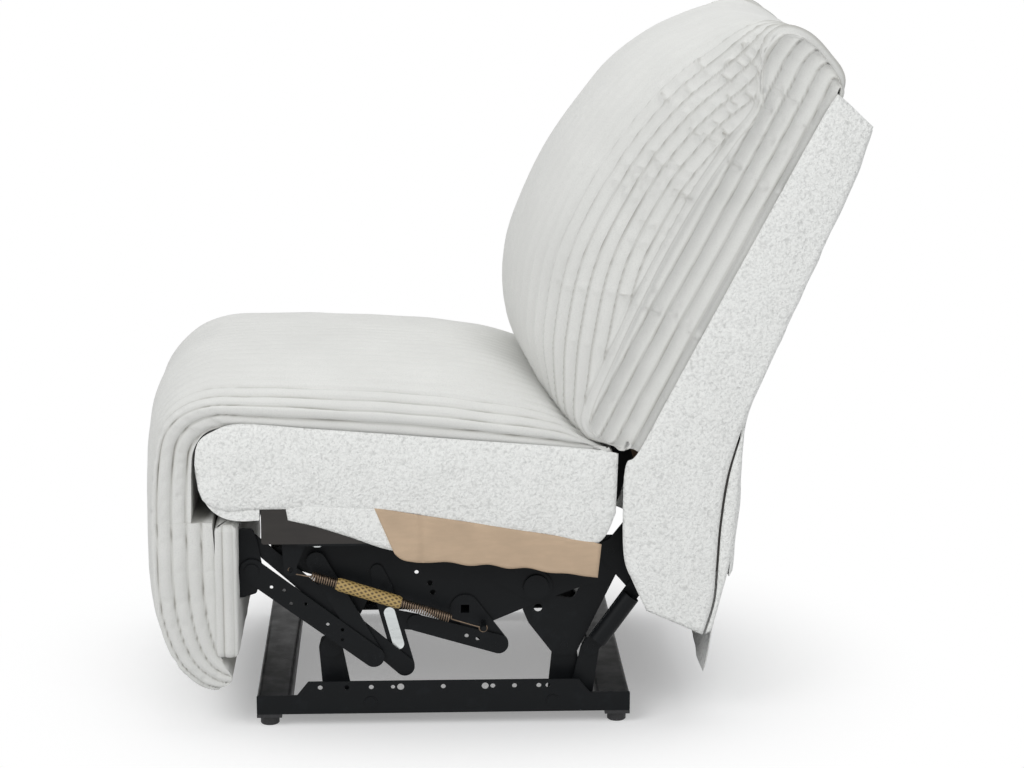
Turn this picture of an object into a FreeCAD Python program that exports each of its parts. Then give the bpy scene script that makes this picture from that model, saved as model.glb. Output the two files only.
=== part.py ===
"""Armless recliner: a steel recliner mechanism on a base frame, a padded seat, a reclining back
and a footrest.

Sizes are in millimetres, +Z is up, the front faces -Y and +X is the sitter's left.
Side profiles are pairs (y, z), with y counted from the base frame's front end towards the back.
"""
import FreeCAD, Part
import os
from math import atan, cos, pi, radians, sin, sqrt, tan
from FreeCAD import Vector

# Base frame
base_length = 535.0
base_width = 560.0
plate = 3.0
glide_height = 13.0
glide_radius = 13.5
glide_inset = 18.0
foot_pad = 4.0
rail_height = 48.0
rail_end_height = 28.0
rail_flange = 40.0
rail_slope_start = 58.0
rail_slope_run = 16.0
cross_width = 50.0
cross_height = 25.0
rail_holes = [(91.0, 3.5), (129.0, 3.5), (164.0, 3.5), (195.0, 3.0), (206.0, 5.0), (267.0, 3.5),
              (327.0, 5.0), (338.0, 3.5), (369.0, 3.5), (404.0, 3.5), (417.0, 3.5)]
rail_boss_places = [163.0, 424.0]
rail_boss_radius = 9.0
rail_boss_height = 1.5

# Links and their layers, counted inwards from the rail
rail_to_links = 6.0
layer_gap = 1.0
pin_radius = 5.0
pin_play = 0.08
boss_radius = 10.0
boss_height = 2.0
swing_length = 128.0
swing_lean = 27.0
swing_half_width = 15.0
front_swing_foot = (107.0, 108.0)
rear_swing_foot = (442.0, 108.0)
control_foot = (479.0, 108.0)
control_head = (545.0, 200.0)
control_radius = 13.0
control_wall = 1.5
control_eye = 12.0
back_pivot = (507.0, 250.0)

# Footrest linkage
front_link_pivot = (87.7, 240.0)
rear_link_pivot = (180.7, 199.0)
link_crossing = (141.3, 137.4)
front_link_end = (168.2, 99.3)
rear_link_end = (212.4, 82.3)
bracket_low = (-3.6, 228.9)
bracket_high = (-9.7, 276.7)
link_half_width = 14.0
bracket_eye = 10.0
bracket_crest = 13.0
lower_link_half_width = 17.0
stop_tab_reach = 26.0
stop_tab_width = 18.0
strap_width = 16.0
strap_thickness = 0.5
hub = (299.0, 166.0)
crank_reach = (48.0, -52.0)
spring_lug = (26.0, -21.0)
torque_tube_side = 16.0
torque_tube_wall = 2.0
hub_radius = 21.0

# Seat box
body_overhang = 25.0
cover = 5.7
clear = 0.3
side_rail_thickness = 21.0
flange_top = 275.0
rail_setback = 12.0
wood = 18.0
seat_top_front = (-14.0, 445.0)
seat_top_rear = (516.0, 401.0)
seat_rear_foot = (519.0, 322.5)
skirt_hem = 322.5
side_hem_front = 183.0
side_hem_rear = (489.0, 271.0)
dust_panel_hem = 222.0
dust_panel_thickness = 1.7
bolster_front = -78.0
bolster_room = 18.3
front_tube_side = 26.0
front_tube_place = (35.0, 245.0)
strap_count = 5
webbing_width = 50.0
webbing_thickness = 2.0
bolt_head_radius = 6.5
bolt_head = 3.0

# Footrest
footrest_front = -141.0
footrest_foot = 61.0
knee_drop = 2.0
pad_back = -52.0
board_thickness = 18.0
footrest_cover = 8.0
footrest_crown = 20.0

# Cushions
cushion_inset = 5.0
seat_crown = 60.0
seat_cushion_rear = 505.0
cushion_steps = [0.0, 0.55, 0.85, 1.0]

# Back
back_bow = 0.8
back_foot_front = (546.0, 402.0)
back_top_front = (813.0, 905.0)
back_top_rear = (858.0, 863.0)
back_shoulder = (843.0, 808.0)
back_waist = (691.0, 452.0)
back_rump = (683.0, 306.0)
back_tail = (649.0, 141.0)
panel_foot = (672.0, 220.0)
back_side_thickness = 21.0
rear_panel = 5.0
flap_half_width = 262.0
flap_thickness = 6.0

# Springs
spring_room = 5.0
spring_radius = 7.5
spring_wire = 1.5
spring_turns = 9
spring_hook = 6.0
coil_start = 24.0
coil_end = 232.0
sleeve_span = (62.0, 158.0)
sleeve_radius = 11.0
sleeve_wall = 1.5
hook_tab_place = (52.0, 234.0)

half_base = base_width / 2
spring_axis_x = half_base + spring_room
half_body = half_base + body_overhang
rail_inner = half_base - plate
rail_floor = glide_height + foot_pad
rail_foot = rail_floor + 1.0
cover_inner = half_body - cover
cushion_half_width = half_body - cushion_inset
bolster_base = bracket_high[1] + bracket_crest + bolster_room
knee_seam = bolster_base - knee_drop
swing_arm = (swing_length * sin(radians(swing_lean)), swing_length * cos(radians(swing_lean)))
middle_y = (back_top_rear[0] + rear_panel + footrest_front - footrest_crown) / 2

parts = {}


def layer(number):
    """Inner face of a link layer: 0 is the outermost, beside the base rail."""
    return rail_inner - rail_to_links - plate - number * (plate + layer_gap)


def shifted(point, step):
    return (point[0] + step[0], point[1] + step[1])


def side_point(point):
    return Vector(0, point[0], point[1])


def cylinder(point, radius, x_low, x_high):
    """A round bar along X at a side profile's point."""
    return Part.makeCylinder(radius, x_high - x_low, Vector(x_low, point[0], point[1]), Vector(1, 0, 0))


def corner(before, point, after, radius):
    """Start, middle and end of the arc that rounds one corner."""
    to_before = (before - point).normalize()
    to_after = (after - point).normalize()
    half = to_before.getAngle(to_after) / 2
    if radius <= 0 or half > radians(89.0):
        return point, None, point
    reach = min(radius / tan(half), 0.48 * (before - point).Length, 0.48 * (after - point).Length)
    radius = reach * tan(half)
    inward = (to_before + to_after).normalize()
    middle = point + inward * (radius / sin(half) - radius)
    return point + to_before * reach, middle, point + to_after * reach


def outline(points, radius=0.0):
    """A flat face in the side plane, its corners rounded to one radius."""
    vectors = [side_point(point) for point in points]
    count = len(vectors)
    corners = []
    for index in range(count):
        corners.append(corner(vectors[index - 1], vectors[index], vectors[(index + 1) % count], radius))
    edges = []
    for index in range(count):
        start, middle, end = corners[index]
        if middle:
            edges.append(Part.Arc(start, middle, end).toShape())
        following = corners[(index + 1) % count][0]
        if (following - end).Length > 0.001:
            edges.append(Part.makeLine(end, following))
    return Part.Face(Part.Wire(edges))


def link_outline(start, end, start_radius, end_radius):
    """A link's face: two round ends joined by their common tangents."""
    first = side_point(start)
    second = side_point(end)
    along = second - first
    length = along.Length
    along = along / length
    across = Vector(0, -along.z, along.y)
    lean = (start_radius - end_radius) / length
    rise = sqrt(1 - lean * lean)
    left = along * lean + across * rise
    right = along * lean - across * rise
    edges = [
        Part.makeLine(first + left * start_radius, second + left * end_radius),
        Part.Arc(second + left * end_radius, second + along * end_radius,
                 second + right * end_radius).toShape(),
        Part.makeLine(second + right * end_radius, first + right * start_radius),
        Part.Arc(first + right * start_radius, first - along * start_radius,
                 first + left * start_radius).toShape(),
    ]
    return Part.Face(Part.Wire(edges))


def extruded(face, x_low, x_high):
    solid = face.extrude(Vector(x_high - x_low, 0, 0))
    solid.translate(Vector(x_low, 0, 0))
    return solid


def sheet_part(face, number):
    """A pressed plate that lies in one link layer."""
    return extruded(face, layer(number), layer(number) + plate)


def drilled(solid, places, radius=pin_radius + pin_play):
    for place in places:
        solid = solid.cut(cylinder(place, radius, 0, half_body))
    return solid


def box(x_low, x_high, y_low, y_high, z_low, z_high):
    return Part.makeBox(x_high - x_low, y_high - y_low, z_high - z_low, Vector(x_low, y_low, z_low))


def mirrored(solid):
    return solid.mirror(Vector(0, 0, 0), Vector(1, 0, 0))


def add(name, *solids):
    """Keeps one node, moved to the chair's middle."""
    shape = solids[0] if len(solids) == 1 else Part.makeCompound(list(solids))
    shape = shape.copy()
    shape.translate(Vector(0, -middle_y, 0))
    parts[name] = shape


def add_sides(name, solid):
    add(name + "_left", solid)
    add(name + "_right", mirrored(solid))


def add_pair(name, *solids):
    add(name, *solids, *[mirrored(solid) for solid in solids])


def make_base_rails():
    """Angle-section side rails: an upright web with sloped ends and a flange that faces inwards."""
    far_slope = base_length - rail_slope_start
    end_top = rail_foot + rail_end_height
    top = rail_foot + rail_height
    profile = [(0, rail_foot), (0, end_top), (rail_slope_start, end_top),
               (rail_slope_start + rail_slope_run, top),
               (far_slope - rail_slope_run, top), (far_slope, end_top), (base_length, end_top),
               (base_length, rail_foot)]
    rail = extruded(outline(profile, 2.0), rail_inner, half_base)
    rail = rail.fuse(box(rail_inner - rail_flange, rail_inner, 0, base_length, rail_foot, rail_foot + plate))
    for place in rail_boss_places:
        boss = cylinder((place, rail_foot + rail_boss_radius + 7.0), rail_boss_radius, half_base - 1.0,
                        half_base + rail_boss_height)
        rail = rail.fuse(boss)
    for place, radius in rail_holes:
        rail = rail.cut(cylinder((place, top - 9.0), radius, rail_inner - 1.0, half_base + 1.0))
    add_sides("base_rail", rail.removeSplitter())


def make_cross_members():
    """Channels, open below, that join the two rails at the front and the rear."""
    floor = rail_foot + plate
    reach = rail_inner
    for name, start in (("front_cross_member", 0.0), ("rear_cross_member", base_length - cross_width)):
        channel = box(-reach, reach, start, start + cross_width, floor, floor + cross_height)
        edges = [edge for edge in channel.Edges if edge.Length > reach and edge.BoundBox.ZMin > floor]
        channel = channel.makeFillet(2 * plate, edges)
        hollow = box(-reach, reach, start + plate, start + cross_width - plate, floor,
                     floor + cross_height - plate)
        add(name, channel.cut(hollow))


def make_posts():
    """Upright brackets on the rail flange: one carries the front swing link, one the rear pair."""
    foot = rail_foot + plate
    inner = layer(6)
    front_face = outline([(96.0, foot), (140.0, foot), (front_swing_foot[0] + 16.0, front_swing_foot[1]),
                          (front_swing_foot[0] + 8.0, front_swing_foot[1] + 16.0),
                          (front_swing_foot[0] - 14.0, front_swing_foot[1] + 16.0),
                          (front_swing_foot[0] - 18.0, front_swing_foot[1])], 6.0)
    front = extruded(front_face, inner, inner + plate)
    front = front.fuse(box(inner, rail_inner - plate, 98.0, 138.0, foot, foot + plate))
    front = front.fuse(cylinder(front_swing_foot, pin_radius, inner, layer(5) + plate))
    add_pair("front_posts", front.removeSplitter())

    swing_y, swing_z = rear_swing_foot
    inner_face = outline([(swing_y - 26.0, foot), (swing_y + 30.0, foot), (swing_y + 17.0, swing_z),
                          (swing_y + 8.0, swing_z + 17.0), (swing_y - 8.0, swing_z + 17.0),
                          (swing_y - 17.0, swing_z)], 6.0)
    control_y, control_z = control_foot
    outer_face = outline([(control_y - 34.0, foot), (control_y + 1.0, foot), (control_y + 13.0, control_z),
                          (control_y + 7.0, control_z + 13.0), (control_y - 7.0, control_z + 13.0),
                          (control_y - 14.0, control_z)], 6.0)
    rear = extruded(inner_face, inner, inner + plate)
    rear = rear.fuse(extruded(outer_face, layer(3), layer(3) + plate))
    rear = rear.fuse(box(inner, layer(3) + plate, control_y - 32.0, control_y - 8.0, foot, foot + plate))
    rear = rear.fuse(cylinder(rear_swing_foot, pin_radius, inner, layer(5) + plate))
    rear = rear.fuse(cylinder(control_foot, pin_radius, layer(3), layer(2) + plate))
    add_pair("rear_posts", rear.removeSplitter())


def make_glides():
    """Round glides under the four corners, each on its own pad."""
    glides = []
    for side in (-1, 1):
        for place in (glide_inset, base_length - glide_inset):
            x_middle = side * (half_base - glide_inset)
            stem = Part.makeCylinder(glide_radius, glide_height, Vector(x_middle, place, 0))
            stem = stem.makeChamfer(1.5, [edge for edge in stem.Edges if edge.BoundBox.ZMax < 0.1])
            pad = box(x_middle - glide_inset, x_middle + glide_inset, place - glide_inset,
                      place + glide_inset,
                      glide_height, rail_foot)
            glides.append(stem.fuse(pad))
    add("glides", *glides)


def make_swing_links():
    """The parallel links that carry the seat forward as the chair reclines."""
    front_head = shifted(front_swing_foot, swing_arm)
    front = sheet_part(link_outline(front_swing_foot, front_head, swing_half_width, swing_half_width), 5)
    front = drilled(front, [front_swing_foot])
    front = front.fuse(cylinder(front_head, pin_radius, layer(5), layer(4) + plate))
    add_pair("front_swing_links", front)

    rear_head = shifted(rear_swing_foot, swing_arm)
    foot_y, foot_z = rear_swing_foot
    head_y, head_z = rear_head
    face = outline([(foot_y - 14.0, foot_z - 16.0), (foot_y + 16.0, foot_z - 14.0),
                    (head_y + 17.0, head_z - 6.0),
                    (head_y + 8.0, head_z + 16.0), (head_y - 14.0, head_z + 12.0),
                    (foot_y + 12.0, foot_z + 70.0),
                    (foot_y - 44.0, foot_z + 78.0), (foot_y - 62.0, foot_z + 58.0),
                    (foot_y - 52.0, foot_z + 34.0)],
                   10.0)
    rear = sheet_part(face, 5)
    rear = drilled(rear, [rear_swing_foot])
    rear = rear.cut(cylinder((foot_y - 38.0, foot_z + 56.0), 6.0, 0, half_body))
    rear = rear.fuse(cylinder(rear_head, pin_radius, layer(5), layer(4) + plate))
    add_pair("rear_swing_links", rear)


def make_control_tubes():
    """Round tubes with flattened eyes that tip the back as the seat moves."""
    axis_x = layer(2) + control_radius
    foot = side_point(control_foot)
    head = side_point(control_head)
    along = (head - foot).normalize()
    inset = control_eye + 4.0
    length = (head - foot).Length - 2 * inset
    start = foot + along * inset + Vector(axis_x, 0, 0)
    tube = Part.makeCylinder(control_radius, length, start, along)
    bore = Part.makeCylinder(control_radius - control_wall, length, start, along)
    tube = tube.cut(bore)
    eyes = sheet_part(link_outline(control_foot, control_head, control_eye, control_eye), 2)
    middle = Part.makeCylinder(control_radius - control_wall, length - 16.0, start + along * 8.0, along)
    tube = tube.fuse(eyes.cut(middle)).removeSplitter()
    tube = drilled(tube, [control_foot])
    rivet = cylinder(control_head, pin_radius + 2.0, layer(2) + plate, layer(2) + plate + boss_height)
    add_pair("control_tubes", tube.fuse(rivet))


def seat_plate_outline():
    rear_head = shifted(rear_swing_foot, swing_arm)
    pivot_y, pivot_z = back_pivot
    top = flange_top - plate
    return outline([(40.0, top), (front_link_pivot[0] - 30.0, front_link_pivot[1] - 14.0),
                    (front_link_pivot[0] - 6.0, front_link_pivot[1] - 22.0),
                    (rear_link_pivot[0] - 10.0, rear_link_pivot[1] - 21.0),
                    (rear_link_pivot[0] + 40.0, rear_link_pivot[1] - 24.0), (hub[0] - 20.0, hub[1] - 27.0),
                    (hub[0] + 22.0, hub[1] - 27.0), (hub[0] + 96.0, hub[1] + 4.0),
                    (rear_head[0] - 30.0, rear_head[1] - 24.0), (rear_head[0] + 8.0, rear_head[1] - 18.0),
                    (rear_head[0] + 19.0, rear_head[1] + 4.0), (pivot_y + 19.0, pivot_z + 8.0),
                    (pivot_y + 12.0, top)], 12.0)


def make_seat_plates():
    """Side plates that carry every pivot of the seat, with a flange that the seat box stands on."""
    side = sheet_part(seat_plate_outline(), 4)
    heads = [shifted(front_swing_foot, swing_arm), shifted(rear_swing_foot, swing_arm)]
    side = drilled(side, heads)
    side = drilled(side, [hub], torque_tube_side * 0.75)
    for place, radius in (((249.0, 204.0), 4.0), ((253.0, 190.0), 4.0), ((230.0, 220.0), 3.0),
                          ((380.0, 215.0), 4.0)):
        side = side.cut(cylinder(place, radius, 0, half_body))
    flange = box(layer(4), cover_inner - clear, 62.0, seat_rear_foot[0] - 30.0, flange_top - plate,
                 flange_top)
    side = side.fuse(flange)
    tab_y, tab_z = hook_tab_place
    tab_face = outline([(tab_y - 12.0, flange_top), (tab_y - 9.0, tab_z - 8.0), (tab_y + 8.0, tab_z - 8.0),
                        (tab_y + 9.0, tab_z + 6.0), (tab_y + 24.0, flange_top)], 4.0)
    tab = extruded(tab_face, spring_axis_x - plate / 2, spring_axis_x + plate / 2)
    tab = tab.cut(cylinder(hook_tab_place, 4.0, 0, half_body))
    tab = tab.fuse(box(spring_axis_x - 8.0, spring_axis_x + 8.0, tab_y - 6.0, 62.0, flange_top - plate,
                       flange_top))
    side = side.fuse(tab)
    pins = [cylinder(front_link_pivot, pin_radius, layer(4), layer(1) + plate),
            cylinder(front_link_pivot, pin_radius + 3.0, layer(4), layer(1) - layer_gap / 2),
            cylinder(rear_link_pivot, pin_radius, layer(4), layer(3) + plate),
            cylinder(back_pivot, pin_radius, layer(4), layer(3) + plate)]
    for pin in pins:
        side = side.fuse(pin)
    add_sides("seat_plate", side.removeSplitter())


def make_plate_braces():
    """A flanged brace and a round ear pressed on to each side plate's rear half."""
    ear = (401.0, 198.0)
    start = (274.0, 254.0)
    brace = sheet_part(link_outline(start, ear, 9.0, 23.0), 3)
    lip = extruded(link_outline(shifted(start, (2.0, 6.0)), (366.0, 222.0), 2.0, 2.0), layer(3),
                   layer(2) + plate)
    brace = brace.fuse(lip)
    brace = brace.fuse(cylinder(ear, 18.0, layer(3), layer(1)))
    spacer = cylinder(start, 6.0, layer(4) + plate, layer(3))
    rear_spacer = cylinder(ear, 8.0, layer(4) + plate, layer(3))
    add_pair("plate_braces", brace.fuse(spacer).fuse(rear_spacer).removeSplitter())


def make_torque_tube():
    """The square tube that turns both footrest linkages together, and its cranks."""
    reach = layer(3) + plate
    side = torque_tube_side
    wall = torque_tube_wall
    y_low = hub[0] - side / 2
    z_low = hub[1] - side / 2
    tube = box(-reach, reach, y_low, y_low + side, z_low, z_low + side)
    tube = tube.cut(box(-reach, reach, y_low + wall, y_low + side - wall, z_low + wall, z_low + side - wall))
    add("torque_tube", tube)

    crank_end = shifted(hub, crank_reach)
    lug = shifted(hub, spring_lug)
    crank = sheet_part(link_outline(hub, crank_end, hub_radius, link_half_width), 3)
    crank = crank.fuse(sheet_part(link_outline(hub, lug, hub_radius, 9.0), 3))
    crank = crank.cut(box(layer(3) - 1.0, reach + 1.0, y_low, y_low + side, z_low, z_low + side))
    crank = crank.fuse(cylinder(crank_end, pin_radius, layer(3), layer(2) + plate))
    crank = crank.fuse(cylinder(lug, spring_hook - spring_wire - 0.6, layer(3), spring_axis_x + 4.0))
    add_pair("hub_cranks", crank.removeSplitter())


def make_drive_links():
    """Links from the cranks to the rear footrest links."""
    start = shifted(rear_link_pivot, crank_reach)
    end = shifted(hub, crank_reach)
    link = sheet_part(link_outline(start, end, 12.0, link_half_width), 2)
    link = drilled(link, [end])
    link = link.cut(cylinder((end[0] - 46.0, end[1] + 13.0), 3.0, 0, half_body))
    link = link.cut(cylinder((end[0] - 30.0, end[1] + 8.5), 3.0, 0, half_body))
    add_pair("drive_links", link)


def make_front_links():
    """Front footrest links, on the long pin at the seat plate's front."""
    link = sheet_part(link_outline(front_link_pivot, front_link_end, link_half_width, link_half_width), 1)
    link = drilled(link, [front_link_pivot])
    link = link.fuse(cylinder(link_crossing, pin_radius, layer(2), layer(1) + plate))
    link = link.fuse(cylinder(front_link_end, pin_radius, layer(1), layer(0) + plate))
    add_pair("front_footrest_links", link.removeSplitter())


def make_rear_links():
    """Rear footrest links with their bent stop tab and a zinc strap on the outer face."""
    pivot = side_point(rear_link_pivot)
    end = side_point(rear_link_end)
    up = (pivot - end).normalize()
    tab_end = pivot + up * stop_tab_reach
    link = sheet_part(link_outline(rear_link_pivot, rear_link_end, link_half_width, link_half_width), 3)
    stem = sheet_part(link_outline((tab_end.y, tab_end.z), rear_link_pivot, stop_tab_width / 2,
                                   link_half_width), 3)
    drive_point = shifted(rear_link_pivot, crank_reach)
    ear_root = pivot + (end - pivot) * 0.4
    ear = sheet_part(link_outline((ear_root.y, ear_root.z), drive_point, link_half_width, 12.0), 3)
    link = link.fuse(stem).fuse(ear)
    link = drilled(link, [rear_link_pivot])
    add_pair("rear_footrest_links", link.removeSplitter())

    strap_start = pivot + (end - pivot) * 0.32
    strap_end = pivot + (end - pivot) * 0.72
    face = link_outline((strap_start.y, strap_start.z), (strap_end.y, strap_end.z), strap_width / 2,
                        strap_width / 2)
    strap = extruded(face, layer(3) + plate, layer(3) + plate + strap_thickness)
    add_pair("link_straps", strap)


def make_upper_links():
    """Upper footrest links, crossing the front links and reaching the bracket's top pivot."""
    link = sheet_part(link_outline(rear_link_end, bracket_high, link_half_width, bracket_eye), 2)
    link = drilled(link, [link_crossing])
    link = link.fuse(cylinder(bracket_high, pin_radius, layer(2), layer(1) + plate))
    add_pair("upper_footrest_links", link.removeSplitter())


def make_lower_links():
    """Long lower footrest links, outermost, with the punched holes that show."""
    half = lower_link_half_width
    link = sheet_part(link_outline(front_link_end, bracket_low, half - 2.0, half), 0)
    link = drilled(link, [front_link_end])
    start = side_point(bracket_low)
    along = side_point(front_link_end) - start
    across = Vector(0, -along.z, along.y).normalize()
    for share, offset in ((0.17, -3.0), (0.25, 4.0), (0.34, -6.0), (0.42, 6.0), (0.62, 0.0), (0.72, 6.0),
                          (0.76, -6.0)):
        place = start + along * share + across * offset
        link = link.cut(cylinder((place.y, place.z), 2.5, 0, half_body))
    boss = cylinder(bracket_low, boss_radius, layer(0) + plate, layer(0) + plate + boss_height)
    add_pair("lower_footrest_links", link.fuse(boss).removeSplitter())


def make_footrest():
    """Brackets, board, padded front and cloth back of the footrest."""
    low_y, low_z = bracket_low
    high_y, high_z = bracket_high
    rear = pad_back + board_thickness + footrest_cover + 2.0
    face = outline([(rear, low_z - 42.0), (low_y + 6.0, low_z - 34.0), (low_y + 14.0, low_z - 6.0),
                    (low_y + 14.0, low_z + 10.0), (high_y + 14.0, high_z - 4.0),
                    (high_y + 8.0, high_z + bracket_crest),
                    (rear, high_z + bracket_crest)], 5.0)
    bracket = sheet_part(face, 1)
    flange = box(layer(1) - 30.0, layer(1) + plate, rear, rear + plate, low_z - 42.0, high_z + bracket_crest)
    bracket = bracket.fuse(flange)
    bracket = bracket.cut(cylinder(bracket_high, pin_radius + pin_play, 0, half_body))
    add_sides("footrest_bracket", bracket.removeSplitter())

    board_front = pad_back + clear
    board_rear = board_front + board_thickness
    side = cushion_half_width - 7.0
    board = box(-side, side, board_front, board_rear, footrest_foot + 54.0, knee_seam - 12.0)
    add("footrest_board", board)
    tray = box(-cushion_half_width, cushion_half_width, board_front, rear, footrest_foot + 47.0,
               knee_seam - 4.0)
    tray = tray.cut(box(-side, side, board_front - 1.0, board_rear, footrest_foot + 54.0, knee_seam - 12.0))
    add("footrest_back_cover", tray)


def section_wire(points, x_place):
    """A closed wire of arcs, each through three neighbouring points of the list."""
    vectors = [Vector(x_place, point[0], point[1]) for point in points]
    edges = []
    for index in range(0, len(vectors), 2):
        end = vectors[(index + 2) % len(vectors)]
        edges.append(Part.Arc(vectors[index], vectors[index + 1], end).toShape())
    return Part.Wire(edges)


def crowned(edge_profile, crown_profile, half_width):
    """A cushion lofted across X, from its side profile up to its fuller middle."""
    wires = []
    steps = [-step for step in reversed(cushion_steps[1:])] + cushion_steps
    for step in steps:
        fullness = 1 - abs(step) ** 3
        points = []
        for low, high in zip(edge_profile, crown_profile):
            points.append((low[0] + (high[0] - low[0]) * fullness, low[1] + (high[1] - low[1]) * fullness))
        wires.append(section_wire(points, step * half_width))
    return Part.makeLoft(wires, True, False)


def seat_line(y_place):
    """Height of the seat box's top edge."""
    share = (y_place - seat_top_front[0]) / (seat_top_rear[0] - seat_top_front[0])
    return seat_top_front[1] + (seat_top_rear[1] - seat_top_front[1]) * share


def make_seat_cushion():
    """The seat pad: flat on the seat box, crowned across, and thinning out under the back cushion."""
    rear = seat_cushion_rear
    lift = clear + 0.7
    edge = [(rear, seat_line(rear) + lift), (200.0, seat_line(200.0) + lift + 0.5),
            (-14.0, seat_line(-14.0) + lift),
            (-48.0, seat_line(-14.0) - 6.0), (-82.0, seat_line(-14.0) - 19.0),
            (-108.0, 436.0), (-131.0, 441.0),
            (-107.0, 467.0), (-60.0, 477.0),
            (209.0, 458.0), (rear - 75.0, 430.0),
            (rear - 35.0, 417.0)]
    crown = list(edge)
    crown[5] = (-112.0, 436.0)
    crown[6] = (-149.0, 446.0)
    crown[7] = (-124.0, 464.0 + seat_crown * 0.55)
    crown[8] = (-62.0, 467.0 + seat_crown)
    crown[9] = (209.0, 467.0 + seat_crown)
    crown[10] = (rear - 115.0, 432.0 + seat_crown)
    crown[11] = (rear - 73.0, 452.0)
    add("seat_cushion", crowned(edge, crown, cushion_half_width))


def make_knee_pad():
    front = footrest_front
    edge = [(-132.0, 438.0), (front + 1.0, 385.0), (front, knee_seam + clear),
            (-114.0, knee_seam + clear + 0.2), (-86.0, knee_seam + clear),
            (-83.0, 380.0), (-86.0, 421.0),
            (-109.0, 431.0)]
    crown = list(edge)
    crown[0] = (-149.0, 443.0)
    crown[1] = (front - footrest_crown + 1.5, 385.0)
    crown[2] = (front - footrest_crown, knee_seam + clear)
    add("knee_pad", crowned(edge, crown, cushion_half_width))


def make_footrest_pad():
    front = footrest_front
    foot = footrest_foot
    edge = [(front, knee_seam), (front + 0.5, 222.0), (front + 15.0, foot + 78.0),
            (front + 38.0, foot + 28.0), (-62.0, foot), (-38.0, foot + 5.0), (-30.0, foot + 20.0),
            (pad_back - 3.0, foot + 44.0), (pad_back - 1.5, 180.0), (pad_back - 0.5, 250.0),
            (pad_back - 1.0, knee_seam),
            (-97.0, knee_seam - 0.2)]
    crown = list(edge)
    crown[0] = (front - footrest_crown, knee_seam)
    crown[1] = (front - footrest_crown, 222.0)
    crown[2] = (front - footrest_crown * 0.3 + 6.0, foot + 78.0)
    crown[3] = (front + 30.0, foot + 26.0)
    add("footrest_pad", crowned(edge, crown, cushion_half_width))


def back_line(height):
    """The point at a height that lies just in front of the back's sloping front plane."""
    share = (height - back_foot_front[1]) / (back_top_front[1] - back_foot_front[1])
    return (back_foot_front[0] + (back_top_front[0] - back_foot_front[0]) * share - 2 * clear, height)


def make_back_cushion():
    """The back pad: a deep crown in front of a flat side band, narrowing towards the seat."""
    top = back_top_front[1] - 1.0
    rear = [back_line(417.0), shifted(back_line(661.0), (-back_bow, 0)), back_line(top)]
    edge = rear + [(811.0, 938.0), (792.0, 968.0), (764.0, 990.0), (732.0, 991.0), (708.0, 966.0),
                   (702.0, 929.0),
                   (640.0, 804.0), (552.0, 648.0), (500.0, 545.0), (466.0, 447.0), (486.0, 425.0)]
    crown = rear + [(811.0, 943.0), (794.0, 974.0), (758.0, 996.0), (712.0, 1003.0), (640.0, 990.0),
                    (570.0, 955.0),
                    (448.0, 826.0), (368.0, 648.0), (376.0, 552.0), (432.0, 476.0), (480.0, 428.0)]
    add("back_cushion", crowned(edge, crown, cushion_half_width))


def side_hem(y_place):
    """Height of the side cover's lower edge, which falls towards the back."""
    share = (y_place - side_hem_front) / (side_hem_rear[0] - side_hem_front)
    return skirt_hem + (side_hem_rear[1] - skirt_hem) * share


def side_cover_outline():
    return outline([seat_top_front, seat_top_rear, seat_rear_foot, side_hem_rear,
                    (side_hem_front, skirt_hem),
                    (207.0, 262.0), (150.0, 284.0), (90.0, 302.0), (53.0, bolster_base),
                    (-14.0, bolster_base)], 0.0)


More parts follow.
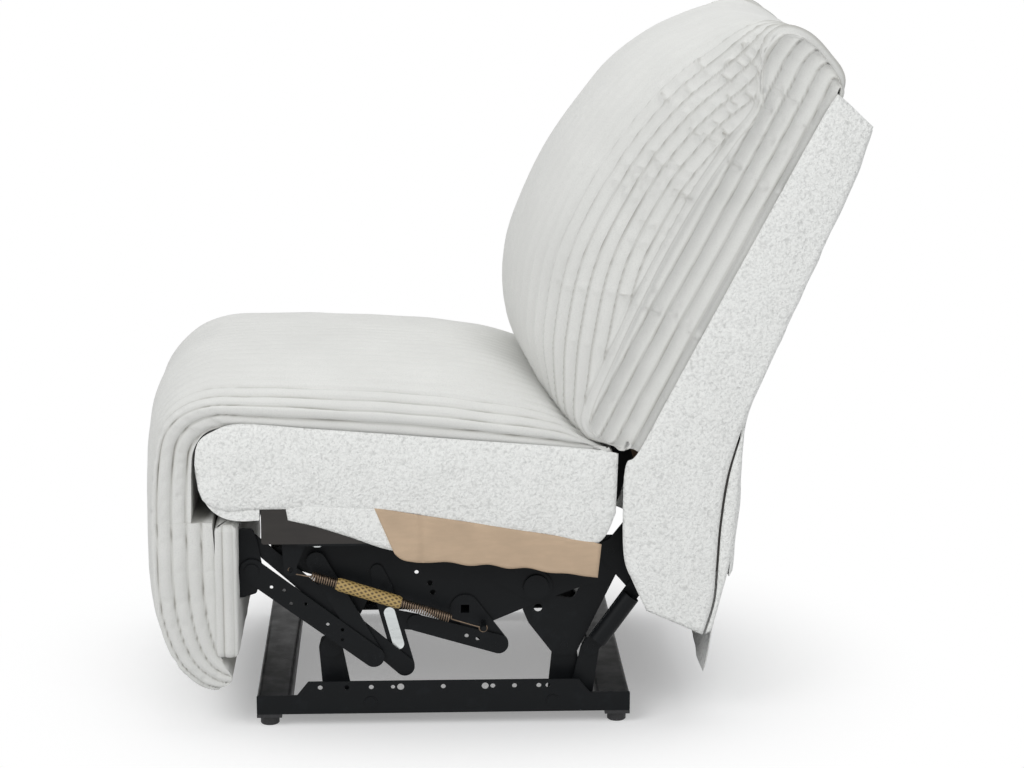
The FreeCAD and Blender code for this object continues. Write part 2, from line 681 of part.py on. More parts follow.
def make_seat_box():
    """Wooden rails, webbing, cloth sides, padded front roll and paper dust panels."""
    rail_outer = cover_inner - clear
    rail_low = rail_outer - side_rail_thickness
    rear = seat_rear_foot[0] - rail_setback
    drop = 6.0
    rail_face = outline([(rail_setback, flange_top), (rail_setback, seat_line(rail_setback) - drop),
                         (rear, seat_line(rear) - drop), (rear, flange_top + 45.0),
                         (rear - 40.0, flange_top)], 4.0)
    add_sides("seat_side_rail", extruded(rail_face, rail_low, rail_outer))
    add("seat_front_rail", box(-rail_low, rail_low, rail_setback, rail_setback + wood, bolster_base + 4.0,
                               seat_line(rail_setback) - drop - 6.0))
    rear_low = rear - wood - 20.0
    add("seat_rear_rail", box(-rail_low, rail_low, rear_low, rear_low + wood, 300.0,
                              seat_line(rear) - drop - 6.0))

    straps = []
    spacing = 2 * rail_low / (strap_count + 1)
    start = (rail_setback + 2.0, seat_line(rail_setback) - drop - 4.3)
    end = (rear_low + wood - 2.0, seat_line(rear_low) - drop - 4.4)
    strap_face = outline([start, end, shifted(end, (0, webbing_thickness)),
                          shifted(start, (0, webbing_thickness))])
    for index in range(strap_count):
        middle = -rail_low + spacing * (index + 1)
        straps.append(extruded(strap_face, middle - webbing_width / 2, middle + webbing_width / 2))
    add("seat_webbing", *straps)

    add_sides("seat_side_cover", extruded(side_cover_outline(), cover_inner, half_body))
    front, rear = side_hem_front + 2.0, side_hem_rear[0]
    panel_face = outline([(front, side_hem(front) - 2 * clear), (front + 26.0, dust_panel_hem + 34.0),
                          (front + 44.0, dust_panel_hem + 25.0), (rear - 3.0, dust_panel_hem),
                          (rear + 4.0, dust_panel_hem + 38.0), (rear - clear, side_hem(rear) - 2 * clear)])
    add_sides("dust_panel", extruded(panel_face, cover_inner, cover_inner + dust_panel_thickness))

    front = bolster_front
    roll = [(rail_setback - clear, bolster_base), (-20.0, bolster_base - 1.0), (-46.0, bolster_base + 8.0),
            (front + 12.0, bolster_base + 28.0), (front, 385.0), (front + 8.0, 424.0), (-46.0, 436.0),
            (-30.0, 441.0), (seat_top_front[0], seat_top_front[1] - 0.5), (0.0, 444.5),
            (rail_setback - clear, 442.5), (rail_setback - clear - 0.3, 380.0)]
    wires = [section_wire(roll, -cover_inner + clear), section_wire(roll, cover_inner - clear)]
    add("seat_front_roll", Part.makeLoft(wires, True, True))

    tube_y, tube_z = front_tube_place
    half = front_tube_side / 2
    tube = box(-layer(4), layer(4), tube_y - half, tube_y + half, tube_z - half, tube_z + half)
    edges = [edge for edge in tube.Edges if edge.Length > layer(4)]
    add("seat_front_tube", tube.makeFillet(3.0, edges))

    bolts = []
    for side in (-1, 1):
        for place in (90.0, 280.0, 450.0):
            x_place = side * (rail_low + side_rail_thickness / 2)
            head = Part.makeCylinder(bolt_head_radius, bolt_head,
                                     Vector(x_place, place, flange_top - plate - bolt_head))
            bolts.append(head)
    add("seat_bolts", *bolts)


def make_back():
    """Plywood sides, stiles, rails, brackets, webbing, cloth and rear panel of the back."""
    side_face = outline([(536.0, 262.0), (527.0, 378.0), (549.0, 400.0), (808.0, 880.0), (845.0, 848.0),
                         (690.0, 480.0), (656.0, 228.0), (562.0, 228.0)], 4.0)
    outer = cover_inner - clear
    inner = outer - back_side_thickness
    add_sides("back_side_panel", extruded(side_face, inner, outer))
    stile_face = outline([(545.0, 290.0), (560.0, 410.0), (800.0, 860.0), (838.0, 842.0), (640.0, 440.0),
                          (600.0, 290.0)])
    stile_inner = layer(3) + plate
    add_pair("back_stiles", extruded(stile_face, stile_inner, inner))

    for name, low, high in (("back_top_rail", (795.0, 840.0), (806.0, 862.0)),
                            ("back_middle_rail", (612.0, 500.0), (629.0, 533.0)),
                            ("back_bottom_rail", (570.0, 296.0), (572.0, 340.0))):
        face = outline([low, high, shifted(high, (20.0, -10.0)), shifted(low, (20.0, -10.0))])
        reach = layer(3) if name == "back_bottom_rail" else stile_inner
        add(name, extruded(face, -reach, reach))

    pivot_y, pivot_z = back_pivot
    bracket_face = outline([(pivot_y - 16.0, pivot_z - 8.0), (control_head[0] - 14.0, control_head[1] - 4.0),
                            (control_head[0] - 6.0, control_head[1] - 13.0),
                            (control_head[0] + 10.0, control_head[1] - 12.0),
                            (control_head[0] + 16.0, control_head[1] + 4.0), (590.0, 300.0), (640.0, 440.0),
                            (612.0, 452.0), (555.0, 330.0), (pivot_y - 2.0, pivot_z + 17.0),
                            (pivot_y - 14.0, pivot_z + 12.0)], 6.0)
    bracket = sheet_part(bracket_face, 3)
    bracket = drilled(bracket, [back_pivot])
    add_sides("back_bracket", bracket)

    straps = []
    stile_low, stile_high = (560.0, 410.0), (800.0, 860.0)
    lean = side_point(stile_high) - side_point(stile_low)
    outward = Vector(0, -lean.z, lean.y).normalize() * webbing_thickness
    width = lean.normalize() * webbing_width
    for share in (0.2, 0.45, 0.7):
        low = shifted(stile_low, (lean.y * share, lean.z * share))
        high = shifted(low, (width.y, width.z))
        face = outline([low, high, shifted(high, (outward.y, outward.z)),
                        shifted(low, (outward.y, outward.z))])
        straps.append(extruded(face, -inner, inner))
    add("back_webbing", *straps)

    cover_face = outline([(521.0, 380.0), back_foot_front, back_top_front, back_top_rear,
                          back_shoulder, back_waist, back_rump, back_tail, (553.0, 175.0),
                          (524.0, 249.0)], 5.0)
    add_sides("back_side_cover", extruded(cover_face, cover_inner, half_body))
    rear_line = [back_top_rear, back_shoulder, back_waist, panel_foot]
    rear_face = outline(rear_line + [shifted(point, (rear_panel, 0)) for point in reversed(rear_line)])
    add("rear_panel", extruded(rear_face, -cover_inner + clear, cover_inner - clear))
    top_face = outline([(809.5, 882.0), (back_top_front[0] - 1.0, back_top_front[1] - 2.0),
                        (back_top_rear[0] - 1.0, back_top_rear[1] - 2.0), (846.5, 850.0)])
    add("back_top_cover", extruded(top_face, -cover_inner + clear, cover_inner - clear))
    flap_line = [(panel_foot[0] - 0.5, panel_foot[1] - clear), (back_tail[0] + 4.0, back_tail[1]),
                 (640.0, 68.0)]
    flap_face = outline(flap_line + [shifted(point, (flap_thickness, 0)) for point in reversed(flap_line)])
    add("rear_flap", extruded(flap_face, -flap_half_width, flap_half_width))


def biarc(start, start_way, end, end_way):
    """Two tangent arcs from one point to the next, as edges."""
    chord = end - start
    both = start_way + end_way
    spread = 2 * (1 - start_way.dot(end_way))
    lean = chord.dot(both)
    if spread < 1e-9:
        reach = chord.Length / 2
    else:
        reach = (-lean + sqrt(lean * lean + spread * chord.dot(chord))) / spread
    first = start + start_way * reach
    second = end - end_way * reach
    joint = (first + second) / 2
    edges = []
    for low, apex, high in ((start, first, joint), (joint, second, end)):
        middle = (low + high) / 2
        rise = (apex - middle).Length
        half = (high - low).Length / 2
        if rise < 0.001:
            edges.append(Part.makeLine(low, high))
            continue
        sagitta = half * tan(atan(rise / half) / 2)
        edges.append(Part.Arc(low, middle + (apex - middle) * (sagitta / rise), high).toShape())
    return edges


def spring_stations(length):
    """Points and directions along the spring: hook, coil and hook, along its own Z axis."""
    hook = spring_hook
    stations = [(Vector(hook, 0, 0), Vector(0, 0, -1)), (Vector(0, 0, -hook), Vector(-1, 0, 0)),
                (Vector(-hook, 0, 0), Vector(0, 0, 1))]
    radius = spring_radius
    steps = 4 * spring_turns
    climb = (coil_end - coil_start) / steps
    quarter = pi / 2
    for step in range(steps + 1):
        turn = pi + quarter * step
        way = Vector(-sin(turn) * radius * quarter, cos(turn) * radius * quarter, climb).normalize()
        stations.append((Vector(cos(turn) * radius, sin(turn) * radius, coil_start + climb * step), way))
    stations += [(Vector(0, -hook, length), Vector(0, 0, 1)), (Vector(0, 0, length + hook), Vector(0, 1, 0)),
                 (Vector(0, hook, length), Vector(0, 0, -1))]
    return stations


def least_gap(edges, wire_radius):
    """Smallest distance between turns, measured on points along the wire."""
    points = []
    for edge in edges:
        points += edge.discretize(6)[:-1]
    step = sum(edge.Length for edge in edges) / len(points)
    skip = int(pi * spring_radius / step)
    least = min((points[low] - points[high]).Length for low in range(len(points))
                for high in range(low + skip, len(points)))
    return least - 2 * wire_radius


def make_springs():
    """The return springs between each side plate's hook tab and crank, in woven sleeves."""
    lug = side_point(shifted(hub, spring_lug))
    hole = side_point(hook_tab_place)
    front = hole + (lug - hole).normalize() * spring_hook
    length = (lug - front).Length
    stations = spring_stations(length)
    edges = []
    for low, high in zip(stations, stations[1:]):
        edges += biarc(low[0], low[1], high[0], high[1])
    profile = Part.Face(Part.Wire([Part.Circle(stations[0][0], stations[0][1], spring_wire).toShape()]))
    spring = Part.Wire(edges).makePipe(profile)
    print("spring turns", spring_turns, "least gap", round(least_gap(edges, spring_wire), 2))
    slope = FreeCAD.Rotation(Vector(0, 0, 1), lug - front)
    place = FreeCAD.Placement(Vector(spring_axis_x, front.y, front.z), slope)
    spring.Placement = place
    add_pair("extension_springs", spring)
    start, end = sleeve_span
    sleeve = Part.makeCylinder(sleeve_radius, end - start, Vector(0, 0, start))
    sleeve = sleeve.cut(Part.makeCylinder(sleeve_radius - sleeve_wall, end - start, Vector(0, 0, start)))
    sleeve.Placement = place
    add_pair("spring_sleeves", sleeve)


def main():
    makers = [make_base_rails, make_cross_members, make_posts, make_glides, make_swing_links,
              make_control_tubes,
              make_seat_plates, make_plate_braces, make_torque_tube, make_drive_links, make_front_links,
              make_rear_links, make_upper_links, make_lower_links, make_footrest, make_seat_box,
              make_seat_cushion, make_knee_pad, make_footrest_pad, make_back, make_back_cushion,
              make_springs]
    for maker in makers:
        maker()
    os.makedirs("parts", exist_ok=True)
    for name, shape in parts.items():
        solids = len(shape.Solids)
        if not shape.isValid() or solids == 0 or shape.Volume <= 0:
            print("unsound", name, solids, shape.Volume)
        shape.exportStep("parts/" + name + ".step")
    print(len(parts), "nodes, middle", round(middle_y, 3))


main()
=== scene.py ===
"""Dresses the armless recliner: ribbed plush, looped boucle cloth, kraft paper, coated steel and springs.

Profiles are pairs (y, z) in millimetres, y counted from the side rail's front end towards the back and
z from the floor, as on a maker's side drawing. at() turns them into the row's metres.
"""
from math import cos, pi, radians, sin

import bpy
import numpy as np
from mathutils import Matrix, Vector, noise


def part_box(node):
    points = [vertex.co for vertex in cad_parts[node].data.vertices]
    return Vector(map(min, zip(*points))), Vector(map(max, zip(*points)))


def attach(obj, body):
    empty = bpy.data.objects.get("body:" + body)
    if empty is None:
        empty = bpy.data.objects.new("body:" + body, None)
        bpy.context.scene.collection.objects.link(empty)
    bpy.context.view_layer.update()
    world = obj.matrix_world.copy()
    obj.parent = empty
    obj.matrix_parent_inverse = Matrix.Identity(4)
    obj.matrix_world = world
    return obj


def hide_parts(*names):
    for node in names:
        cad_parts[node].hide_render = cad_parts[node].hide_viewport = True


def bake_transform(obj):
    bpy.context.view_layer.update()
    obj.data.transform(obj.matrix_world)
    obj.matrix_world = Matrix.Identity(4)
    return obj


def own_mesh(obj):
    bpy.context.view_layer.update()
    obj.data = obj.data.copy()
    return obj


bl_info = {
    "name": "Armless recliner dressing",
    "version": (1, 0, 0),
    "blender": (4, 5, 0),
    "location": "View3D > Sidebar > Recliner",
    "description": "Builds the cushions, cloth, paper, springs and finishes over the recliner's frame",
    "category": "Object",
}

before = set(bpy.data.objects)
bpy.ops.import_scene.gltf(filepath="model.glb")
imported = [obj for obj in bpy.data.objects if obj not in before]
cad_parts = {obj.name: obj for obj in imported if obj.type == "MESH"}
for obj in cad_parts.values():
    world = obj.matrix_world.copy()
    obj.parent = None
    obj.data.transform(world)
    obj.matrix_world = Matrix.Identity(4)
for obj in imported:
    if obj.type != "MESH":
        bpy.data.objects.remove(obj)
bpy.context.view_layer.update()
rail_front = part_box("base_rail_left")[0].y
half_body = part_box("back_side_cover_left")[1].x * 1000
half_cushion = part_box("seat_cushion")[1].x * 1000
cover_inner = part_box("back_side_cover_left")[0].x * 1000
sides = ((1, "left"), (-1, "right"))


def at(x, y, z):
    """A point of the side drawing, in the row's metres."""
    return Vector((x / 1000, rail_front + y / 1000, z / 1000))


def in_row(points):
    """An array of millimetre points (x, y, z) in the row's metres."""
    moved = np.array(points, float) / 1000
    moved[..., 1] += rail_front
    return moved


class PlushSettings(bpy.types.PropertyGroup):
    colour: bpy.props.FloatVectorProperty(
        name="Plush colour", description="Pile colour of the ribbed plush", subtype="COLOR",
        size=3, min=0, max=1, default=(0.76, 0.76, 0.735))
    rib_width: bpy.props.FloatProperty(
        name="Rib width", description="Width of one rib of the plush, in millimetres",
        default=21.0, min=8.0)
    rib_height: bpy.props.FloatProperty(
        name="Rib height", description="Depth of the groove between two ribs, in millimetres",
        default=7.0, min=0.0)
    step: bpy.props.FloatProperty(
        name="Mesh step", description="Distance between two mesh lines on the cushions, in millimetres",
        default=2.7, min=1.0)


class ClothSettings(bpy.types.PropertyGroup):
    boucle: bpy.props.FloatVectorProperty(
        name="Boucle colour", description="Colour of the looped cloth", subtype="COLOR",
        size=3, min=0, max=1, default=(0.86, 0.865, 0.845))
    kraft: bpy.props.FloatVectorProperty(
        name="Paper colour", description="Colour of the stiff paper dust panels", subtype="COLOR",
        size=3, min=0, max=1, default=(0.565, 0.42, 0.29))
    loop_size: bpy.props.FloatProperty(
        name="Loop size", description="Size of one curl of the boucle, in millimetres", default=3.8, min=1.0)
    step: bpy.props.FloatProperty(
        name="Mesh step", description="Distance between two mesh lines on the cloth, in millimetres",
        default=5.0, min=1.0)


class MetalSettings(bpy.types.PropertyGroup):
    steel: bpy.props.FloatVectorProperty(
        name="Steel colour", description="Colour of the powder coat", subtype="COLOR",
        size=3, min=0, max=1, default=(0.0070, 0.0080, 0.0090))
    coil_wire: bpy.props.FloatProperty(
        name="Coil wire", description="Diameter of the spring wire, in millimetres", default=2.2, min=0.5)
    coil_turns: bpy.props.IntProperty(
        name="Coil turns", description="Turns of each return spring", default=62, min=4)


class StageSettings(bpy.types.PropertyGroup):
    floor: bpy.props.FloatVectorProperty(
        name="Floor colour", description="Colour of the floor under the chair", subtype="COLOR",
        size=3, min=0, max=1, default=(0.80, 0.80, 0.80))
    lens: bpy.props.FloatProperty(
        name="Lens", description="Focal length of the camera, in millimetres", default=96.96, min=10.0)


def settings(name):
    """One group of sizes and colours of the scene."""
    return getattr(bpy.context.scene, "recliner_" + name)


# Smooth lines and grids

def through(stops, places):
    """Values of a smooth curve through the stops, which lie at whole numbers along it."""
    stops = np.array(stops, float)
    places = np.clip(np.asarray(places, float), 0, len(stops) - 1)
    low = np.minimum(places.astype(int), len(stops) - 2)
    share = (places - low).reshape((-1,) + (1,) * (stops.ndim - 1))
    before = stops[np.maximum(low - 1, 0)]
    start = stops[low]
    end = stops[low + 1]
    after = stops[np.minimum(low + 2, len(stops) - 1)]
    return 0.5 * (2 * start + (end - before) * share
                  + (2 * before - 5 * start + 4 * end - after) * share ** 2
                  + (3 * start - before - 3 * end + after) * share ** 3)


def lengths(points):
    """Distance along a line of points, from its first point."""
    steps = np.linalg.norm(np.diff(points, axis=0), axis=1)
    return np.concatenate([[0], np.cumsum(steps)])


def even_places(stops, step):
    """Places along the stops at even steps of length, in millimetres."""
    fine = np.linspace(0, len(stops) - 1, 40 * len(stops))
    run = lengths(through(stops, fine))
    count = max(4, int(run[-1] / step))
    return np.interp(np.linspace(0, run[-1], count), run, fine)


def resampled(points, count):
    """The same line with evenly spaced points."""
    run = lengths(points)
    wanted = np.linspace(0, run[-1], count)
    return np.stack([np.interp(wanted, run, points[:, axis]) for axis in range(points.shape[1])], axis=1)


def softened(points, passes):
    """The line with its corners rounded by repeated averaging, its ends kept."""
    points = points.copy()
    for _ in range(passes):
        points[1:-1] = (points[:-2] + 2 * points[1:-1] + points[2:]) / 4
    return points


def grid_normals(grid, closed=False):
    """Outward directions of a grid of points (rows, columns, 3)."""
    along = np.gradient(grid, axis=0)
    if closed:
        across = np.roll(grid, -1, axis=1) - np.roll(grid, 1, axis=1)
    else:
        across = np.gradient(grid, axis=1)
    facing = np.cross(across, along)
    return facing / np.maximum(np.linalg.norm(facing, axis=2, keepdims=True), 1e-9)


def mesh_object(name, points, faces, material, values=None):
    """A smooth mesh in the row's metres from millimetre points, with named values kept on its points."""
    mesh = bpy.data.meshes.new(name)
    mesh.from_pydata(in_row(points).tolist(), [], faces)
    mesh.validate()
    mesh.polygons.foreach_set("use_smooth", [True] * len(mesh.polygons))
    for key, series in (values or {}).items():
        attribute = mesh.attributes.new(key, "FLOAT", "POINT")
        attribute.data.foreach_set("value", np.asarray(series, np.float32).ravel())
    mesh.materials.append(material)
    mesh.update()
    piece = bpy.data.objects.new(name, mesh)
    bpy.context.scene.collection.objects.link(piece)
    return piece


def tube_mesh(name, grid, material, values=None):
    """A closed sleeve: quads between the rows, the last column joined to the first, and two end caps."""
    rows, columns = grid.shape[:2]
    last_row = (rows - 1) * columns
    faces = []
    for low in range(0, last_row, columns):
        for column in range(columns):
            beside = (column + 1) % columns
            faces.append((low + column, low + beside, low + columns + beside, low + columns + column))
    faces.append(tuple(reversed(range(columns))))
    faces.append(tuple(range(last_row, rows * columns)))
    piece = mesh_object(name, grid.reshape(-1, 3), faces, material, values)
    piece.data.set_sharp_from_angle(angle=radians(75))
    return piece


def wander(points, size, seed):
    """Smooth random values from -1 to 1 for an array of points, over lumps of a size in millimetres."""
    flat = points.reshape(-1, 3) / size
    shift = Vector((seed * 7.3, seed * 3.1, seed * 5.7))
    values = [noise.noise(Vector(point) + shift) for point in flat]
    return np.array(values).reshape(points.shape[:-1])


# Finishes

def node(tree, kind, inputs=None, **attributes):
    """A shader node with its attributes and input values or links set."""
    made = tree.nodes.new(kind)
    for key, value in attributes.items():
        setattr(made, key, value)
    for key, value in (inputs or {}).items():
        if isinstance(value, bpy.types.NodeSocket):
            tree.links.new(value, made.inputs[key])
        else:
            made.inputs[key].default_value = value
    return made


def new_finish(name, roughness, metallic=0.0):
    """A fresh material and its main shader."""
    made = bpy.data.materials.new(name)
    made.use_nodes = True
    shader = made.node_tree.nodes["Principled BSDF"]
    shader.inputs["Roughness"].default_value = roughness
    shader.inputs["Metallic"].default_value = metallic
    return made, made.node_tree, shader


def solid_noise(tree, scale, detail=3.0, stretch=(1.0, 1.0, 1.0), roughness=0.5):
    """Heights of a noise fixed in the object, with a scale in repeats per metre."""
    place = node(tree, "ShaderNodeTexCoord")
    stretched = node(tree, "ShaderNodeMapping", {"Vector": place.outputs["Object"], "Scale": stretch})
    inputs = {"Vector": stretched.outputs["Vector"], "Scale": scale, "Detail": detail,
              "Roughness": roughness}
    return node(tree, "ShaderNodeTexNoise", inputs).outputs["Fac"]


def spread(tree, value, low, high, start=0.0, end=1.0):
    """The value mapped from one range to another."""
    made = node(tree, "ShaderNodeMapRange", {"Value": value, "From Min": low, "From Max": high,
                                             "To Min": start, "To Max": end})
    return made.outputs["Result"]


def soft_spread(tree, value, low, high):
    """0 below the low value and 1 above the high one, with a smooth change between them."""
    made = node(tree, "ShaderNodeMapRange", {"Value": value, "From Min": low, "From Max": high},
                interpolation_type="SMOOTHSTEP")
    return made.outputs["Result"]


def between(tree, share, first, second):
    """A colour between two others."""
    made = node(tree, "ShaderNodeMix", data_type="RGBA")
    for socket, value in ((made.inputs["Factor"], share), (made.inputs[6], first), (made.inputs[7], second)):
        if isinstance(value, bpy.types.NodeSocket):
            tree.links.new(value, socket)
        elif socket.type == "RGBA":
            socket.default_value = (*value[:3], 1.0)
        else:
            socket.default_value = value
    return made.outputs[2]


def tinted(colour, share):
    return tuple(channel * share for channel in colour)


def two_tones(tree, height, low, high, colour, first, last):
    """From one share of a colour to another, as the height goes from low to high."""
    return between(tree, spread(tree, height, low, high), tinted(colour, first), tinted(colour, last))


def dressed(tree, shader, tone, *layers):
    """Puts a colour on the shader, and bump layers (height, strength, distance in metres)."""
    tree.links.new(tone, shader.inputs["Base Color"])
    normal = None
    for height, strength, distance in layers:
        inputs = {"Height": height, "Strength": strength, "Distance": distance}
        if normal:
            inputs["Normal"] = normal
        normal = node(tree, "ShaderNodeBump", inputs).outputs["Normal"]
    tree.links.new(normal, shader.inputs["Normal"])


def plush_finish():
    """Short dense pile: soft sheen, faint clouding and painted shade darkening the groove bottoms."""
    made, tree, shader = new_finish("plush", 0.92)
    colour = settings("plush").colour
    cloud = solid_noise(tree, 9.0, 4.0)
    pile = solid_noise(tree, 520.0, 3.0, roughness=0.65)
    shaded = two_tones(tree, cloud, 0.35, 0.68, colour, 0.965, 1.02)
    flecked = between(tree, spread(tree, pile, 0.30, 0.52, 1.0, 0.0), shaded, tinted(colour, 0.93))
    # Painted shade: the pile colour is darkened towards a warm grey in the grooves and pinches, by the pad's
    # stored shade value.
    painted_shade = node(tree, "ShaderNodeAttribute", attribute_name="painted_shade").outputs["Fac"]
    painted_shade_colour = (colour[0] * 0.56, colour[1] * 0.55, colour[2] * 0.52)
    deep = between(tree, spread(tree, painted_shade, 0.40, 1.0, 0.0, 0.90), flecked, painted_shade_colour)
    shader.inputs["Sheen Weight"].default_value = 0.22
    shader.inputs["Sheen Roughness"].default_value = 0.45
    shader.inputs["Specular IOR Level"].default_value = 0.15
    dressed(tree, shader, deep, (cloud, 0.15, 0.004), (pile, 0.45, 0.0009))
    return made


def boucle_finish():
    """Looped cloth: small curls, with painted shade as faint grey specks between them."""
    made, tree, shader = new_finish("boucle", 0.95)
    colour = settings("cloth").boucle
    curls_per_metre = 1000 / settings("cloth").loop_size
    place = node(tree, "ShaderNodeTexCoord").outputs["Object"]
    bend = node(tree, "ShaderNodeTexNoise", {"Vector": place, "Scale": curls_per_metre * 0.6, "Detail": 2.0})
    warped = node(tree, "ShaderNodeMix", {"Factor": 0.006}, data_type="VECTOR")
    tree.links.new(place, warped.inputs[4])
    tree.links.new(bend.outputs["Color"], warped.inputs[5])
    inputs = {"Vector": warped.outputs[1], "Scale": curls_per_metre, "Randomness": 1.0}
    curl = node(tree, "ShaderNodeTexVoronoi", inputs, feature="SMOOTH_F1").outputs["Distance"]
    yarn = solid_noise(tree, curls_per_metre * 1.1, 3.0, roughness=0.6)
    tuft = solid_noise(tree, curls_per_metre * 0.30, 3.0)
    # Painted shade: each curl is lighter at its middle and darker at its edge, where the curls dip.
    painted_curl_shade = two_tones(tree, curl, 0.45, 0.80, colour, 1.08, 0.80)
    grey = between(tree, spread(tree, yarn, 0.34, 0.47, 0.60, 0.0), painted_curl_shade, tinted(colour, 0.74))
    clouded = between(tree, spread(tree, tuft, 0.38, 0.62, 0.0, 0.35), grey, tinted(colour, 1.08))
    shader.inputs["Sheen Weight"].default_value = 0.12
    shader.inputs["Specular IOR Level"].default_value = 0.15
    lifted = spread(tree, curl, 0.0, 0.8, 1.0, 0.0)
    dressed(tree, shader, clouded, (tuft, 0.5, 0.003), (lifted, 0.8, 0.0020), (yarn, 0.4, 0.0008))
    return made


def kraft_finish():
    """Stiff brown paper: fine fibres and a soft scuffed tone."""
    made, tree, shader = new_finish("kraft", 0.78)
    colour = settings("cloth").kraft
    fibre = solid_noise(tree, 160.0, 5.0, stretch=(1.0, 0.25, 1.0))
    scuff = solid_noise(tree, 16.0, 3.0)
    base = two_tones(tree, scuff, 0.35, 0.65, colour, 0.93, 1.05)
    lined = between(tree, spread(tree, fibre, 0.40, 0.62, 0.25, 0.0), base, tinted(colour, 0.78))
    dressed(tree, shader, lined, (scuff, 0.25, 0.003), (fibre, 0.25, 0.0004))
    return made


def steel_finish():
    """Black powder coat: a fine grainy skin with dust and rubbed spots."""
    made, tree, shader = new_finish("black_steel", 0.42)
    colour = settings("metal").steel
    skin = solid_noise(tree, 700.0, 2.0)
    rubbed = solid_noise(tree, 34.0, 6.0, roughness=0.65)
    tone = between(tree, spread(tree, rubbed, 0.56, 0.74, 0.0, 0.6), colour, tinted(colour, 1.9))
    shader.inputs["Specular IOR Level"].default_value = 0.13
    tree.links.new(spread(tree, rubbed, 0.3, 0.7, 0.34, 0.50), shader.inputs["Roughness"])
    dressed(tree, shader, tone, (skin, 0.18, 0.0004))
    return made


def bare_metal_finish(name, colour, roughness, streak=(1.0, 1.0, 1.0)):
    """Plated or oiled metal with fine streaks."""
    made, tree, shader = new_finish(name, roughness, 1.0)
    grain = solid_noise(tree, 90.0, 5.0, stretch=streak)
    tone = two_tones(tree, grain, 0.35, 0.65, colour, 0.80, 1.08)
    rougher = spread(tree, grain, 0.3, 0.7, roughness - 0.07, roughness + 0.12)
    tree.links.new(rougher, shader.inputs["Roughness"])
    dressed(tree, shader, tone, (grain, 0.12, 0.0004))
    return made


def wood_finish(name, colour):
    """Raw or stained wood with grain along the boards."""
    made, tree, shader = new_finish(name, 0.7)
    grain = solid_noise(tree, 26.0, 6.0, stretch=(3.0, 0.6, 3.0))
    tone = two_tones(tree, grain, 0.35, 0.65, colour, 0.78, 1.08)
    dressed(tree, shader, tone, (grain, 0.2, 0.0006))
    return made


def webbing_finish():
    """Woven elastic band."""
    made, tree, shader = new_finish("webbing", 0.85)
    place = node(tree, "ShaderNodeTexCoord").outputs["Object"]
    inputs = {"Vector": place, "Scale": 160.0, "Distortion": 0.4}
    weave = node(tree, "ShaderNodeTexWave", inputs, bands_direction="Y").outputs["Fac"]
    tone = between(tree, weave, (0.04, 0.04, 0.045), (0.11, 0.11, 0.115))
    dressed(tree, shader, tone, (weave, 0.5, 0.0008))
    return made


def plastic_finish():
    """Moulded black plastic with a light pebble."""
    made, tree, shader = new_finish("glide_plastic", 0.55)
    pebble = solid_noise(tree, 420.0, 2.0)
    tone = between(tree, spread(tree, pebble, 0.4, 0.6), (0.010, 0.010, 0.011), (0.018, 0.018, 0.02))
    dressed(tree, shader, tone, (pebble, 0.2, 0.0005))
    return made


def sleeve_finish():
    """Braided golden sleeve, with painted shade darkening it between its strands."""
    made, tree, shader = new_finish("woven_sleeve", 0.5)
    strand = node(tree, "ShaderNodeAttribute", attribute_name="strand").outputs["Fac"]
    fibre = solid_noise(tree, 900.0, 2.0)
    # Painted shade: the colour goes nearly black where no strand is raised.
    tone = between(tree, spread(tree, strand, 0.25, 0.9), (0.06, 0.035, 0.012), (0.50, 0.35, 0.13))
    worn = between(tree, spread(tree, fibre, 0.35, 0.6, 0.35, 0.0), tone, (0.30, 0.20, 0.07))
    dressed(tree, shader, worn, (fibre, 0.4, 0.0005))
    return made


finishes = {}


def finish(name):
    """A material of the scene, made once."""
    makers = {
        "plush": plush_finish,
        "boucle": boucle_finish,
        "kraft": kraft_finish,
        "black_steel": steel_finish,
        "zinc": lambda: bare_metal_finish("zinc", (0.66, 0.69, 0.69), 0.30, (1.0, 0.2, 1.0)),
        "coil_steel": lambda: bare_metal_finish("coil_steel", (0.20, 0.15, 0.11), 0.38),
        "rail_wood": lambda: wood_finish("rail_wood", (0.44, 0.31, 0.19)),
        "dark_wood": lambda: wood_finish("dark_wood", (0.020, 0.017, 0.015)),
        "webbing": webbing_finish,
        "glide_plastic": plastic_finish,
        "sleeve": sleeve_finish,
    }
    if name not in finishes:
        finishes[name] = makers[name]()
    return finishes[name]


def coat(names, look):
    """Gives CAD nodes their finish."""
    for name in names:
        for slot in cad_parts[name].material_slots:
            slot.material = finish(look)


def smooth_shade(names):
    """Shades CAD nodes smoothly except at their edges."""
    for name in names:
        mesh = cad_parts[name].data
        mesh.polygons.foreach_set("use_smooth", [True] * len(mesh.polygons))
        mesh.set_sharp_from_angle(angle=radians(32))


# Ribbed plush

def rib_form(distance, width):
    """Height of a rib, from 0 in the groove to 1 on top, at a distance across the cloth."""
    share = np.abs(2 * (distance / width - np.floor(distance / width)) - 1)
    return np.maximum(1 - share ** 2.6, 0) ** 0.8


def half_section(lower, edge, crown, tuck):
    """One half of a pad's section: up its side from the lower line, then over to its middle."""
    side_share = np.linspace(0, 1, 24)[:, None]
    side = np.array(lower) * (1 - side_share) + np.array(edge) * side_share
    side_x = half_cushion - tuck * (1 - side_share[:, 0]) ** 2
    reach = np.linspace(1, 0, 140)[:, None]
    fullness = 1 - reach ** 3.0
    top = np.array(edge) + (np.array(crown) - np.array(edge)) * fullness
    top_x = half_cushion * reach[:, 0]
    return np.column_stack([side_x, side]), np.column_stack([top_x, top])


def mirrored_row(points):
    """A half row and its mirror image, the middle point used once."""
    other = points[::-1].copy()
    other[:, 0] *= -1
    return np.concatenate([points, other[1:]])


